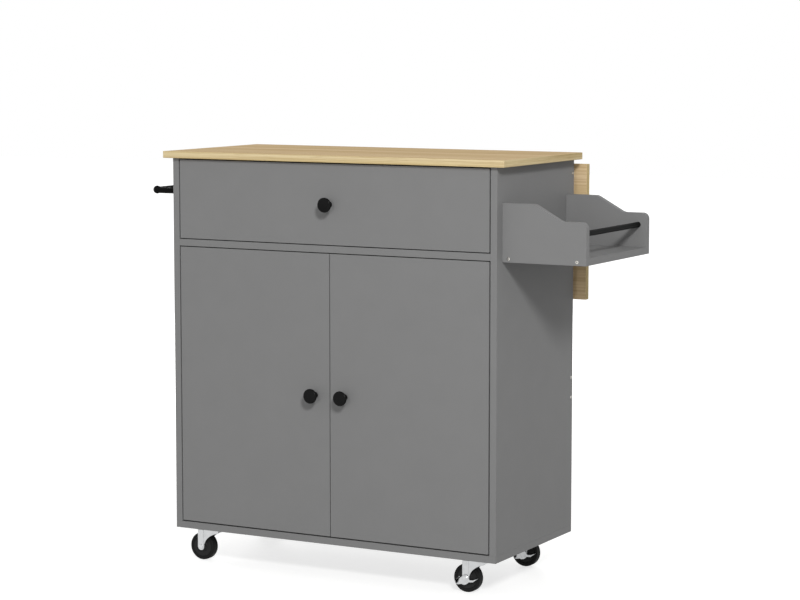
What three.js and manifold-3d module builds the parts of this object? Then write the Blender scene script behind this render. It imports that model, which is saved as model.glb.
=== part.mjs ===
// Drop leaf kitchen island on casters: cabinet with a drawer and two doors, spice rack, towel bar
// and a hinged leaf at the back. Millimetres. X runs to the right, Y to the back, Z up from the floor.
import * as THREE from "three";
import { mergeVertices } from "three/addons/utils/BufferGeometryUtils.js";
import Module from "manifold-3d";

const wasm = await Module();
wasm.setup();

// ---------------------------------------------------------------- driving dimensions

const CLEARANCE = 0.3; // between a piece and its seat, or a pin and its hole
const LAP = 0.3; // how far two solids of one piece run into each other
const BEYOND = 15; // how far a cutting tool runs past the face that it cuts
const SHEET = 1.5; // steel sheet of the runners and leaf brackets
const WHEEL_SIDES = 36; // facets round a wheel
const ROUND_SIDES = 24; // facets round other turned pieces
const PIN_SIDES = 12; // facets round pins and stems

// Boards
const BOARD = 15;
const CABINET_WIDTH = 800;
const CABINET_DEPTH = 380;
const CABINET_HEIGHT = 830; // underside of the bottom board to underside of the worktop
const WORKTOP_SIDE_OVERHANG = 20;
const WORKTOP_FRONT_OVERHANG = 10;

// Drawer and door fronts, set in between the side panels
const FRONT_GAP = 2; // between a front, the divider board and the other door
const SIDE_GAP = 3; // from a front's outer edge to the side panel
const DRAWER_TOP_GAP = 3;
const DOOR_BOTTOM_GAP = 3;
const DRAWER_FRONT_HEIGHT = 174;

// Back of the cabinet
const BACK_RAIL_HEIGHT = 80;
const BACK_PANEL = 3;
const GROOVE_DEPTH = 6;

// Inner shelf on pins
const SHELF_HEIGHT = 303; // bottom board to underside of the shelf
const SHELF_SETBACK = 25;
const SHELF_END_GAP = 1;
const PIN_DIAMETER = 5;
const PIN_REACH = 8;
const PIN_INSET = 50;

// Knobs, from the front face outwards
const KNOB_DIAMETER = 32;
const KNOB_NECK_DIAMETER = 11;
const KNOB_FOOT_DIAMETER = 14;
const KNOB_PROJECTION = 25;
const KNOB_HEAD = 8;
const KNOB_ROUNDING = 1.6;
const DRAWER_KNOB_RISE = 87; // above the drawer front's lower edge
const DOOR_KNOB_DROP = 308; // below the door's upper edge
const DOOR_KNOB_INSET = 36; // from the door's free edge

// Drawer box
const DRAWER_BOARD = 12;
const DRAWER_SIDE_HEIGHT = 120;
const DRAWER_BACK_GAP = 20; // between the drawer box and the upper back board
const DRAWER_BOX_RISE = 14; // above the drawer front's lower edge
const DRAWER_BOTTOM = 3;
const DRAWER_BOTTOM_RISE = 10; // above the drawer sides' lower edges

// Roller runners
const RUNNER_SPACE = 12.5; // between the drawer box and each side panel
const RUNNER_FRONT_GAP = 3;
const RUNNER_BACK_GAP = 5; // from the runners' rear ends to the drawer box's back
const CHANNEL_HEIGHT = 30;
const CHANNEL_RISE = 0.5; // channel's underside above the drawer box's lower edge
const CHANNEL_DROP = 2; // channel's top below the drawer member's upper flange, less the sheet
const FLANGE_REACH = 9.5;
const HOOK_REACH = 11.5;
const ROLLER_WIDTH = 7;
const FRONT_ROLLER_DIAMETER = 24;
const ROLLER_END_GAP = 14; // rear roller's axis from the drawer member's end
const ROLLER_STEM_DIAMETER = 8;

// Concealed hinges
const HINGE_INSET = 100; // from the door's upper and lower edges
const CUP_DIAMETER = 35;
const CUP_DEPTH = 12;
const CUP_WALL = 1.2;
const CUP_INSET = 22; // cup's centre from the hinged edge
const CUP_COLLAR = 1.5; // collar's width round the cup
const CUP_WING_HEIGHT = 62;
const CUP_WING_WIDTH = 14;
const CUP_PIN_DIAMETER = 4;
const CUP_PIN_DEPTH = 6; // pin's axis below the door's inner face
const ARM_WIDTH = 12;
const ARM_HEIGHT = 13;
const ARM_LENGTH = 50;
const ARM_STANDOFF = 2; // from the door's inner face
const ARM_NOSE_WIDTH = 16;
const ARM_NOSE_THICKNESS = 3;
const PLATE_THICKNESS = 3;
const PLATE_SETBACK = 26; // from the front edge
const PLATE_LENGTH = 36;
const PLATE_HEIGHT = 44;

// Spice rack
const RACK_REACH = 190;
const RACK_LENGTH = 330;
const RACK_DROP = 198; // rack's underside below the worktop's
const RACK_TALL = 123;
const RACK_LOW = 88.5;
const SHOULDER_START = 66;
const SHOULDER_END = 140;
const SHOULDER_RADIUS = 22; // of the two curves at the ends of the sloping edge
const RACK_CORNER_RADIUS = 13;
const RACK_RAIL_DIAMETER = 12;
const RACK_RAIL_REACH = 170;
const RACK_RAIL_RISE = 63;
const RAIL_SOCKET = 8;

// Towel bar
const TOWEL_REACH = 70; // cabinet side to the bar's axis
const TOWEL_DROP = 77; // post's axis below the worktop's underside
const TOWEL_SPAN = 300;
const TOWEL_DIAMETER = 13;
const TOWEL_BALL_DIAMETER = 18;
const TOWEL_BALL_RISE = 2.5; // bar's axis above the post's

// Drop leaf, hanging
const LEAF_LENGTH = 300;
const LEAF_JOINT_GAP = 1; // to the worktop when raised
const LEAF_PIVOT_OUT = 6.5; // hinge axis behind the cabinet
const LEAF_PIVOT_DROP = 17.5; // hinge axis below the worktop's underside

// Leaf brackets
const BRACKET_INSET = 150; // bracket's middle from the cabinet's side
const WALL_PLATE_SHEET = 2;
const WALL_PLATE_WIDTH = 44;
const WALL_PLATE_DROP = 90; // below the hinge axis
const WALL_PLATE_RISE = 9;
const CHEEK_GAP = 16; // between the wall plate's cheeks
const CHEEK_REACH = 18; // from the cabinet's back
const CHEEK_CHAMFER = 6;
const LUG_CHAMFER = 3; // at the top of the hinge lugs
const ARM_CHEEK_GAP = 0.55; // between the wall plate's cheeks and the arm's
const PIVOT_PIN_DIAMETER = 4;
const PIVOT_PIN_PROUD = 1;
const BRACKET_ARM_LENGTH = 255;
const SLOT_OFFSET = 5; // slot's line from the hinge axis, towards the leaf
const SLOT_WIDTH = 5.6;
const SLOT_START = 150;
const STRUT_PIVOT_DROP = 70; // strut's pin below the hinge axis
const STRUT_LENGTH = 170;
const STRUT_WIDTH = 12;
const STRUT_THICKNESS = 14;
const STRUT_PIN_DIAMETER = 4.4;

// Casters
const WHEEL_DIAMETER = 62;
const WHEEL_WIDTH = 21;
const WHEEL_SHOULDER = 3;
const TREAD_EDGE = 0.5; // tread's edge below the hub's face
const HUB_DIAMETER = 24;
const HUB_RECESS = 2;
const WHEEL_TO_CROWN = 5.5;
const CROWN_SHEET = 2.5;
const RACE_HEIGHT = 5.5;
const RACE_DIAMETER = 34;
const CASTER_PLATE_SHEET = 2.5;
const CASTER_PLATE_LENGTH = 60;
const CASTER_PLATE_WIDTH = 48;
const PLATE_CORNER_RADIUS = 6;
const CASTER_SIDE_INSET = 65; // swivel axis from the cabinet's side
const CASTER_END_INSET = 48; // swivel axis from the cabinet's front and back
const CASTER_TRAIL = 22.5;
const FORK_SHEET = 2;
const FORK_WHEEL_GAP = 2;
const FORK_LEG_WIDTH = 16.5;
const FORK_TOP_WIDTH = 54;
const FORK_WEB_RISE = 5; // lower end of the curved web above the axle
const FORK_WEB_TURN = 7; // from the leg to where the web's curve turns outwards
const FORK_WEB_DEPTH = 9.5; // that turn below the crown's underside
const FORK_TIP_DEPTH = 3; // web's outer end below the crown's underside
const AXLE_DIAMETER = 8;
const AXLE_HEAD_DIAMETER = 11;
const AXLE_HEAD = 1.2;
const KING_PIN_DIAMETER = 8;
const KING_PIN_HEAD_DIAMETER = 13;
const KING_PIN_HEAD = 2;

// Brake pedals of the two right casters
const BRAKE_SHEET = 2;
const BRAKE_HUB_DIAMETER = 17;
const BRAKE_TOE = 24; // toe's reach to the left of the axle
const BRAKE_TOE_DROP = 14.5; // toe's lower edge below the axle
const BRAKE_TOE_RISE = 7; // toe's upper corner above its lower edge
const BRAKE_TOE_FOOT = 4.5; // toe's lower corner from its tip
const BRAKE_ARCH = 2; // instep above the toe's lower edge
const BRAKE_BELLY = 16.5; // depth that the curve under the axle bends towards
const BRAKE_HEEL = 31; // heel's reach to the right of the axle
const BRAKE_HEEL_START = 18; // where the heel narrows, right of the axle
const BRAKE_HEEL_DROP = 7.25; // heel's underside below the axle
const BRAKE_HEEL_TAPER = 1; // underside's rise from the axle's plate to where the heel narrows
const BRAKE_HEEL_RISE = 3; // heel's tip above the axle
const BRAKE_HEEL_LEVEL = 2; // heel's upper edge below the axle
const BRAKE_HUB_END = Math.PI * 0.8; // where the hub's arc meets the toe's upper edge

// ---------------------------------------------------------------- places worked out from them

const casterHeight = WHEEL_DIAMETER + WHEEL_TO_CROWN + CROWN_SHEET + RACE_HEIGHT + CASTER_PLATE_SHEET;
const underside = casterHeight;
const floorTop = underside + BOARD;
const worktopUnderside = underside + CABINET_HEIGHT;
const halfWidth = CABINET_WIDTH / 2;
const halfDepth = CABINET_DEPTH / 2;
const innerHalf = halfWidth - BOARD;
const frontFace = -halfDepth;
const frontBack = frontFace + BOARD; // inner face of doors and drawer front
const worktopHalf = halfWidth + WORKTOP_SIDE_OVERHANG;

const drawerFrontTop = worktopUnderside - DRAWER_TOP_GAP;
const drawerFrontBottom = drawerFrontTop - DRAWER_FRONT_HEIGHT;
const dividerTop = drawerFrontBottom - FRONT_GAP;
const dividerBottom = dividerTop - BOARD;
const doorTop = dividerBottom - FRONT_GAP;
const doorBottom = floorTop + DOOR_BOTTOM_GAP;
const frontHalf = innerHalf - SIDE_GAP;

const railMiddle = (floorTop + dividerBottom) / 2;
const railBottom = railMiddle - BACK_RAIL_HEIGHT / 2;
const railTop = railMiddle + BACK_RAIL_HEIGHT / 2;
const panelFront = halfDepth - BOARD / 2 - BACK_PANEL / 2;
const panelBack = panelFront + BACK_PANEL;
const grooveReach = GROOVE_DEPTH - CLEARANCE;

const leafPivotY = halfDepth + LEAF_PIVOT_OUT;
const leafPivotZ = worktopUnderside - LEAF_PIVOT_DROP;

// ---------------------------------------------------------------- finishes

const FINISH = {
  greyBoard: { color: 0x828282, roughness: 0.55, metalness: 0 },
  oakBoard: { color: 0xd0b483, roughness: 0.5, metalness: 0 },
  whitePanel: { color: 0xe4e2dd, roughness: 0.6, metalness: 0 },
  blackPlastic: { color: 0x1e1e1e, roughness: 0.4, metalness: 0 },
  blackTube: { color: 0x1b1b1b, roughness: 0.35, metalness: 0.4 },
  blackWheel: { color: 0x262626, roughness: 0.6, metalness: 0 },
  zinc: { color: 0xd8d8d8, roughness: 0.3, metalness: 0.9 },
  nickel: { color: 0xc4c2bd, roughness: 0.25, metalness: 1 },
  whiteSteel: { color: 0xe8e8e6, roughness: 0.4, metalness: 0.3 },
};

// ---------------------------------------------------------------- shapes

const ALONG_X = "x";
const ALONG_Y = "y";
const ALONG_Z = "z";

// A box from its lowest and highest places along each axis.
function box([x0, x1], [y0, y1], [z0, z1]) {
  const geometry = new THREE.BoxGeometry(x1 - x0, y1 - y0, z1 - z0);
  return geometry.translate((x0 + x1) / 2, (y0 + y1) / 2, (z0 + z1) / 2);
}

// Turns a solid that stands along +Z, drawn in XY, to lie along another axis.
// Along X the drawing's plane is (Y, Z); along Y it is (X, Z), and the solid runs from y to y + depth.
function lay(geometry, axis, depth) {
  if (axis === ALONG_X) {
    return geometry.rotateX(Math.PI / 2).rotateZ(Math.PI / 2);
  }
  if (axis === ALONG_Y) {
    return geometry.rotateX(Math.PI / 2).translate(0, depth, 0);
  }
  return geometry;
}

// An outline extruded along an axis, starting at a place on it.
function prism(outline, axis, [start, end]) {
  const shape = outline instanceof THREE.Shape ? outline : new THREE.Shape(points(outline));
  const depth = end - start;
  const geometry = new THREE.ExtrudeGeometry(shape, { depth, bevelEnabled: false, curveSegments: 8 });
  const laid = lay(geometry, axis, depth);
  const step = { x: [start, 0, 0], y: [0, start, 0], z: [0, 0, start] }[axis];
  return laid.translate(...step);
}

function points(pairs) {
  return pairs.map(([u, v]) => new THREE.Vector2(u, v));
}

// A round bar along an axis, from one place on it to another, about (u, v) in the other two axes.
function rod(diameter, axis, [start, end], [u, v], sides = ROUND_SIDES) {
  const geometry = new THREE.CylinderGeometry(diameter / 2, diameter / 2, end - start, sides);
  const middle = (start + end) / 2;
  if (axis === ALONG_X) {
    return geometry.rotateZ(Math.PI / 2).translate(middle, u, v);
  }
  if (axis === ALONG_Y) {
    return geometry.translate(u, middle, v);
  }
  return geometry.rotateX(Math.PI / 2).translate(u, v, middle);
}

// A slot or link outline: two half circles about the ends, joined by straight sides.
function link([u0, v0], [u1, v1], width) {
  const along = Math.atan2(v1 - v0, u1 - u0);
  const shape = new THREE.Shape();
  shape.absarc(u1, v1, width / 2, along - Math.PI / 2, along + Math.PI / 2, false);
  shape.absarc(u0, v0, width / 2, along + Math.PI / 2, along + (3 * Math.PI) / 2, false);
  shape.closePath();
  return shape;
}

// ---------------------------------------------------------------- joins and cuts

function toSolid(geometry) {
  const bare = new THREE.BufferGeometry().setAttribute("position", geometry.getAttribute("position"));
  bare.setIndex(geometry.getIndex());
  const merged = mergeVertices(bare, 1e-4);
  const solid = new wasm.Manifold(
    new wasm.Mesh({
      numProp: 3,
      vertProperties: new Float32Array(merged.getAttribute("position").array),
      triVerts: new Uint32Array(merged.getIndex().array),
    }),
  );
  return solid;
}

function toGeometry(solid) {
  const mesh = solid.getMesh();
  const geometry = new THREE.BufferGeometry();
  geometry.setAttribute("position", new THREE.BufferAttribute(mesh.vertProperties, 3));
  geometry.setIndex(new THREE.BufferAttribute(mesh.triVerts, 1));
  return geometry;
}

function join(...geometries) {
  const [first, ...rest] = geometries.map(toSolid);
  return toGeometry(rest.reduce((sum, next) => sum.add(next), first));
}

function cut(geometry, ...tools) {
  return toGeometry(tools.map(toSolid).reduce((left, tool) => left.subtract(tool), toSolid(geometry)));
}

// The same solid on the other side of the YZ plane, with its faces still pointing out.
function mirrored(geometry) {
  const flat = geometry.index ? geometry.toNonIndexed() : geometry.clone();
  const position = flat.getAttribute("position");
  const turned = new Float32Array(position.count * 3);
  for (let corner = 0; corner < position.count; corner += 1) {
    const triangle = corner - (corner % 3);
    const from = triangle + (2 - (corner % 3));
    turned[corner * 3] = -position.getX(from);
    turned[corner * 3 + 1] = position.getY(from);
    turned[corner * 3 + 2] = position.getZ(from);
  }
  return new THREE.BufferGeometry().setAttribute("position", new THREE.BufferAttribute(turned, 3));
}

// A geometry made for the right side, kept there or mirrored to the left.
function onSide(side, geometry) {
  return side === "right" ? geometry : mirrored(geometry);
}

function piece(name, geometry, finish) {
  const mesh = new THREE.Mesh(geometry, new THREE.MeshStandardMaterial(finish));
  geometry.computeVertexNormals();
  mesh.name = name;
  return mesh;
}

const SIDES = ["left", "right"];

// ---------------------------------------------------------------- carcass

// A side panel with its full-height groove for the back panels and its two shelf pins.
function sidePanel(side) {
  const grooveFront = panelFront - CLEARANCE;
  const grooveBack = panelBack + CLEARANCE;
  const outline = [
    [innerHalf, -halfDepth],
    [halfWidth, -halfDepth],
    [halfWidth, halfDepth],
    [innerHalf, halfDepth],
    [innerHalf, grooveBack],
    [innerHalf + GROOVE_DEPTH, grooveBack],
    [innerHalf + GROOVE_DEPTH, grooveFront],
    [innerHalf, grooveFront],
  ];
  const board = prism(outline, ALONG_Z, [floorTop, worktopUnderside]);
  const pinZ = floorTop + SHELF_HEIGHT - CLEARANCE - PIN_DIAMETER / 2;
  const pinSpan = [innerHalf - PIN_REACH, innerHalf + BOARD / 2];
  const pins = [frontFace + SHELF_SETBACK + PIN_INSET, panelFront - PIN_INSET].map((y) =>
    rod(PIN_DIAMETER, ALONG_X, pinSpan, [y, pinZ], PIN_SIDES),
  );
  return piece(side + "_side_panel", onSide(side, join(board, ...pins)), FINISH.greyBoard);
}

function bottomBoard() {
  const board = box([-halfWidth, halfWidth], [-halfDepth, halfDepth], [underside, floorTop]);
  const groove = box(
    [-innerHalf - GROOVE_DEPTH, innerHalf + GROOVE_DEPTH],
    [panelFront - CLEARANCE, panelBack + CLEARANCE],
    [floorTop - GROOVE_DEPTH, floorTop + BEYOND],
  );
  return piece("bottom_board", cut(board, groove), FINISH.greyBoard);
}

// A board drawn across its depth and height, with a groove for a back panel in its lower edge,
// and another in its upper edge where it stands between two panels.
function groovedBoard(name, [y0, y1], [z0, z1], grooveAbove) {
  const grooveFront = panelFront - CLEARANCE;
  const grooveBack = panelBack + CLEARANCE;
  const lower = [
    [y0, z0],
    [grooveFront, z0],
    [grooveFront, z0 + GROOVE_DEPTH],
    [grooveBack, z0 + GROOVE_DEPTH],
    [grooveBack, z0],
    [y1, z0],
  ];
  const upper = grooveAbove
    ? [
        [y1, z1],
        [grooveBack, z1],
        [grooveBack, z1 - GROOVE_DEPTH],
        [grooveFront, z1 - GROOVE_DEPTH],
        [grooveFront, z1],
        [y0, z1],
      ]
    : [
        [y1, z1],
        [y0, z1],
      ];
  return piece(name, prism([...lower, ...upper], ALONG_X, [-innerHalf, innerHalf]), FINISH.greyBoard);
}

function backPanel(name, [z0, z1]) {
  const reach = innerHalf + grooveReach;
  const span = [z0 - grooveReach, z1 + grooveReach];
  return piece(name, box([-reach, reach], [panelFront, panelBack], span), FINISH.whitePanel);
}

function carcass() {
  const group = new THREE.Group();
  const back = [halfDepth - BOARD, halfDepth];
  const inside = [-innerHalf, innerHalf];
  const shelfBottom = floorTop + SHELF_HEIGHT;
  const shelfHalf = innerHalf - SHELF_END_GAP;
  const shelfDepth = [frontFace + SHELF_SETBACK, halfDepth - BOARD - CLEARANCE];
  group.add(
    bottomBoard(),
    ...SIDES.map(sidePanel),
    groovedBoard("divider_board", [-halfDepth, halfDepth], [dividerBottom, dividerTop], false),
    piece("upper_back_board", box(inside, back, [dividerTop, worktopUnderside]), FINISH.greyBoard),
    groovedBoard("mid_back_rail", back, [railBottom, railTop], true),
    backPanel("back_panel_lower", [floorTop, railBottom]),
    backPanel("back_panel_upper", [railTop, dividerBottom]),
    piece(
      "inner_shelf",
      box([-shelfHalf, shelfHalf], shelfDepth, [shelfBottom, shelfBottom + BOARD]),
      FINISH.greyBoard,
    ),
    piece(
      "worktop",
      box(
        [-worktopHalf, worktopHalf],
        [frontFace - WORKTOP_FRONT_OVERHANG, halfDepth],
        [worktopUnderside, worktopUnderside + BOARD],
      ),
      FINISH.oakBoard,
    ),
  );
  return group;
}

// ---------------------------------------------------------------- knobs

// A turned knob that stands forward from the fronts' outer face.
function knob(name, x, z) {
  const headStart = KNOB_PROJECTION - KNOB_HEAD;
  const radius = KNOB_DIAMETER / 2;
  const neck = KNOB_NECK_DIAMETER / 2;
  const arcMiddle = KNOB_ROUNDING * (1 - Math.SQRT1_2); // middle of the front edge's arc
  const profile = [
    [0, 0],
    [KNOB_FOOT_DIAMETER / 2, 0],
    [KNOB_FOOT_DIAMETER / 2, KNOB_ROUNDING],
    [neck, 2 * KNOB_ROUNDING],
    [neck, headStart - KNOB_ROUNDING],
    [neck + KNOB_ROUNDING, headStart],
    [radius - KNOB_ROUNDING, headStart + KNOB_ROUNDING],
    [radius, headStart + 2 * KNOB_ROUNDING],
    [radius, KNOB_PROJECTION - KNOB_ROUNDING],
    [radius - arcMiddle, KNOB_PROJECTION - arcMiddle],
    [radius - KNOB_ROUNDING, KNOB_PROJECTION],
    [0, KNOB_PROJECTION],
  ];
  const geometry = new THREE.LatheGeometry(points(profile), ROUND_SIDES);
  geometry.rotateX(Math.PI).translate(x, frontFace, z);
  return piece(name, toGeometry(toSolid(geometry)), FINISH.blackPlastic);
}

// ---------------------------------------------------------------- drawer

const boxHalf = innerHalf - RUNNER_SPACE;
const boxInnerHalf = boxHalf - DRAWER_BOARD;
const boxBottom = drawerFrontBottom + DRAWER_BOX_RISE;
const boxTop = boxBottom + DRAWER_SIDE_HEIGHT;
const boxBack = halfDepth - BOARD - DRAWER_BACK_GAP;
const boxFloor = boxBottom + DRAWER_BOTTOM_RISE;
const boxFloorTop = boxFloor + DRAWER_BOTTOM;

function drawerSide(side) {
  const outline = [
    [boxInnerHalf, boxBottom],
    [boxHalf, boxBottom],
    [boxHalf, boxTop],
    [boxInnerHalf, boxTop],
    [boxInnerHalf, boxFloorTop + CLEARANCE],
    [boxInnerHalf + GROOVE_DEPTH, boxFloorTop + CLEARANCE],
    [boxInnerHalf + GROOVE_DEPTH, boxFloor - CLEARANCE],
    [boxInnerHalf, boxFloor - CLEARANCE],
  ];
  const board = prism(outline, ALONG_Y, [frontBack, boxBack]);
  return piece("drawer_" + side + "_side", onSide(side, board), FINISH.whitePanel);
}

function drawerFront() {
  const board = box([-frontHalf, frontHalf], [frontFace, frontBack], [drawerFrontBottom, drawerFrontTop]);
  const groove = box(
    [-boxInnerHalf - GROOVE_DEPTH, boxInnerHalf + GROOVE_DEPTH],
    [frontBack - GROOVE_DEPTH, frontBack + BEYOND],
    [boxFloor - CLEARANCE, boxFloorTop + CLEARANCE],
  );
  return piece("drawer_front", cut(board, groove), FINISH.greyBoard);
}

// ---------------------------------------------------------------- roller runners

const runnerFront = frontBack + RUNNER_FRONT_GAP;
const runnerBack = boxBack - RUNNER_BACK_GAP;
const channelBottom = boxBottom + CHANNEL_RISE;
const channelTop = channelBottom + CHANNEL_HEIGHT;
const upperFlange = channelTop + CHANNEL_DROP - SHEET;
const rearRollerDiameter = CHANNEL_HEIGHT - 2 * SHEET - 2 * CLEARANCE;
const frontRollerY = runnerFront + FRONT_ROLLER_DIAMETER / 2 + SHEET;

// Drawer member: hooks under the drawer side, and its rear roller runs inside the cabinet member.
function drawerRunner(side) {
  const web = boxHalf + SHEET;
  const outline = [
    [boxHalf - HOOK_REACH + SHEET, boxBottom - SHEET],
    [web, boxBottom - SHEET],
    [web, upperFlange],
    [web + ROLLER_WIDTH, upperFlange],
    [web + ROLLER_WIDTH, upperFlange + SHEET],
    [boxHalf, upperFlange + SHEET],
    [boxHalf, boxBottom],
    [boxHalf - HOOK_REACH + SHEET, boxBottom],
  ];
  const rail = prism(outline, ALONG_Y, [runnerFront, runnerBack]);
  const at = [runnerBack - ROLLER_END_GAP, channelBottom + CHANNEL_HEIGHT / 2];
  const rollerStart = innerHalf - SHEET - CLEARANCE - ROLLER_WIDTH;
  const stem = rod(ROLLER_STEM_DIAMETER, ALONG_X, [web - SHEET / 2, rollerStart + SHEET], at, PIN_SIDES);
  const roller = rod(rearRollerDiameter, ALONG_X, [rollerStart, rollerStart + ROLLER_WIDTH], at);
  return piece(side + "_drawer_runner", onSide(side, join(rail, stem, roller)), FINISH.whiteSteel);
}

// Cabinet member: a channel on the side panel, with the roller that carries the drawer at its front.
function cabinetRunner(side) {
  const web = innerHalf - SHEET;
  const lip = innerHalf - FLANGE_REACH;
  const channelFront = frontRollerY + FRONT_ROLLER_DIAMETER / 2 + SHEET;
  const outline = [
    [lip, channelBottom],
    [innerHalf, channelBottom],
    [innerHalf, channelTop],
    [lip, channelTop],
    [lip, channelTop - SHEET],
    [web, channelTop - SHEET],
    [web, channelBottom + SHEET],
    [lip, channelBottom + SHEET],
  ];
  const channel = prism(outline, ALONG_Y, [channelFront, runnerBack]);
  const nose = box([web, innerHalf], [runnerFront, channelFront + LAP], [channelBottom, channelTop]);
  const rollerZ = upperFlange - CLEARANCE - FRONT_ROLLER_DIAMETER / 2;
  const span = [web - ROLLER_WIDTH, web + SHEET / 2];
  const roller = rod(FRONT_ROLLER_DIAMETER, ALONG_X, span, [frontRollerY, rollerZ]);
  return piece(side + "_cabinet_runner", onSide(side, join(channel, nose, roller)), FINISH.whiteSteel);
}

function drawer() {
  const group = new THREE.Group();
  const inner = [-boxInnerHalf, boxInnerHalf];
  const floorHalf = boxInnerHalf + grooveReach;
  group.add(
    drawerFront(),
    ...SIDES.map(drawerSide),
    piece(
      "drawer_back",
      box(inner, [boxBack - DRAWER_BOARD, boxBack], [boxFloorTop, boxTop]),
      FINISH.whitePanel,
    ),
    piece(
      "drawer_bottom",
      box([-floorHalf, floorHalf], [frontBack - grooveReach, boxBack], [boxFloor, boxFloorTop]),
      FINISH.whitePanel,
    ),
    knob("drawer_knob", 0, drawerFrontBottom + DRAWER_KNOB_RISE),
    ...SIDES.map(drawerRunner),
    ...SIDES.map(cabinetRunner),
  );
  return group;
}

// ---------------------------------------------------------------- doors and their hinges

const cupX = frontHalf - CUP_INSET;
const hingeHeights = { lower: doorBottom + HINGE_INSET, upper: doorTop - HINGE_INSET };

// A hinge cup for the right door, in its bore, with the collar and wings that screw to the door.
function hingeCup(z) {
  const back = frontBack;
  const flange = back + CUP_WALL;
  const cupBottom = back - CUP_DEPTH;
  const bowl = rod(CUP_DIAMETER, ALONG_Y, [cupBottom, back + CUP_WALL / 2], [cupX, z]);
  const collar = rod(CUP_DIAMETER + 2 * CUP_COLLAR, ALONG_Y, [back, flange], [cupX, z]);
  const wing = box(
    [cupX - CUP_WING_WIDTH / 2, cupX + CUP_WING_WIDTH / 2],
    [back, flange],
    [z - CUP_WING_HEIGHT / 2, z + CUP_WING_HEIGHT / 2],
  );
  const hollowDiameter = CUP_DIAMETER - 2 * CUP_WALL;
  const hollow = rod(hollowDiameter, ALONG_Y, [cupBottom + CUP_WALL, flange + BEYOND], [cupX, z]);
  const pinSpan = [z - hollowDiameter / 2 - CUP_WALL / 2, z + hollowDiameter / 2 + CUP_WALL / 2];
  const pin = rod(CUP_PIN_DIAMETER, ALONG_Z, pinSpan, [cupX, back - CUP_PIN_DEPTH], PIN_SIDES);
  return join(cut(join(bowl, collar, wing), hollow), pin);
}

// The arm for the right door: plate on the side panel, arm, and the nose that reaches into the cup.
function hingeArm(z) {
  const plateX = [innerHalf - PLATE_THICKNESS, innerHalf];
  const plateY = [frontFace + PLATE_SETBACK, frontFace + PLATE_SETBACK + PLATE_LENGTH];
  const plate = box(plateX, plateY, [z - PLATE_HEIGHT / 2, z + PLATE_HEIGHT / 2]);
  const armInner = plateX[0] + LAP - ARM_HEIGHT;
  const armFront = frontBack + ARM_STANDOFF;
  const height = [z - ARM_WIDTH / 2, z + ARM_WIDTH / 2];
  const arm = box([armInner, plateX[0] + LAP], [armFront, armFront + ARM_LENGTH], height);
  const noseSpan = [cupX - ARM_NOSE_WIDTH / 2, cupX + ARM_NOSE_WIDTH / 2];
  const bridge = box([noseSpan[0], armInner + LAP], [armFront, armFront + ARM_NOSE_THICKNESS], height);
  const noseFront = frontBack - CUP_PIN_DEPTH + CUP_PIN_DIAMETER / 2 + CLEARANCE;
  const nose = box(noseSpan, [noseFront, armFront + LAP], height);
  return join(plate, arm, bridge, nose);
}

// A door with its two cup bores.
function door(side) {
  const board = box([FRONT_GAP / 2, frontHalf], [frontFace, frontBack], [doorBottom, doorTop]);
  const boreDiameter = CUP_DIAMETER + 2 * CLEARANCE;
  const boreSpan = [frontBack - CUP_DEPTH - CLEARANCE, frontBack + BEYOND];
  const bores = Object.values(hingeHeights).map((z) => rod(boreDiameter, ALONG_Y, boreSpan, [cupX, z]));
  return piece(side + "_door", onSide(side, cut(board, ...bores)), FINISH.greyBoard);
}

function doors() {
  const group = new THREE.Group();
  for (const side of SIDES) {
    group.add(door(side));
    for (const [level, z] of Object.entries(hingeHeights)) {
      group.add(piece(side + "_" + level + "_hinge_cup", onSide(side, hingeCup(z)), FINISH.nickel));
      group.add(piece(side + "_" + level + "_hinge_arm", onSide(side, hingeArm(z)), FINISH.nickel));
    }
    const x = FRONT_GAP / 2 + DOOR_KNOB_INSET;
    group.add(knob(side + "_door_knob", side === "right" ? x : -x, doorTop - DOOR_KNOB_DROP));
  }
  return group;
}

// ---------------------------------------------------------------- spice rack

const rackBottom = worktopUnderside - RACK_DROP;
const rackOuter = halfWidth + RACK_REACH;

// An end board: tall at the cabinet, falling to its low outer part in a slope between two equal arcs.
function rackEndOutline() {
  const top = rackBottom + RACK_TALL;
  const low = rackBottom + RACK_LOW;
  const run = SHOULDER_END - SHOULDER_START;
  const fall = RACK_TALL - RACK_LOW;
  const radius = SHOULDER_RADIUS;
  const rise = 2 * radius - fall; // from the upper arc's centre to the lower one's
  const sweep = Math.asin((2 * radius) / Math.hypot(run, rise)) - Math.atan2(rise, run);
  const corner = RACK_CORNER_RADIUS;
  const shape = new THREE.Shape();
  shape.moveTo(halfWidth, rackBottom);
  shape.lineTo(rackOuter, rackBottom);
  shape.lineTo(rackOuter, low - corner);
  shape.absarc(rackOuter - corner, low - corner, corner, 0, Math.PI / 2, false);
  const concave = [halfWidth + SHOULDER_END, low + radius];
  shape.absarc(...concave, radius, -Math.PI / 2, -Math.PI / 2 - sweep, true);
  const convex = [halfWidth + SHOULDER_START, top - radius];
  shape.absarc(...convex, radius, Math.PI / 2 - sweep, Math.PI / 2, false);
  shape.lineTo(halfWidth, top);
  shape.closePath();
  return shape;
}

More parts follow.
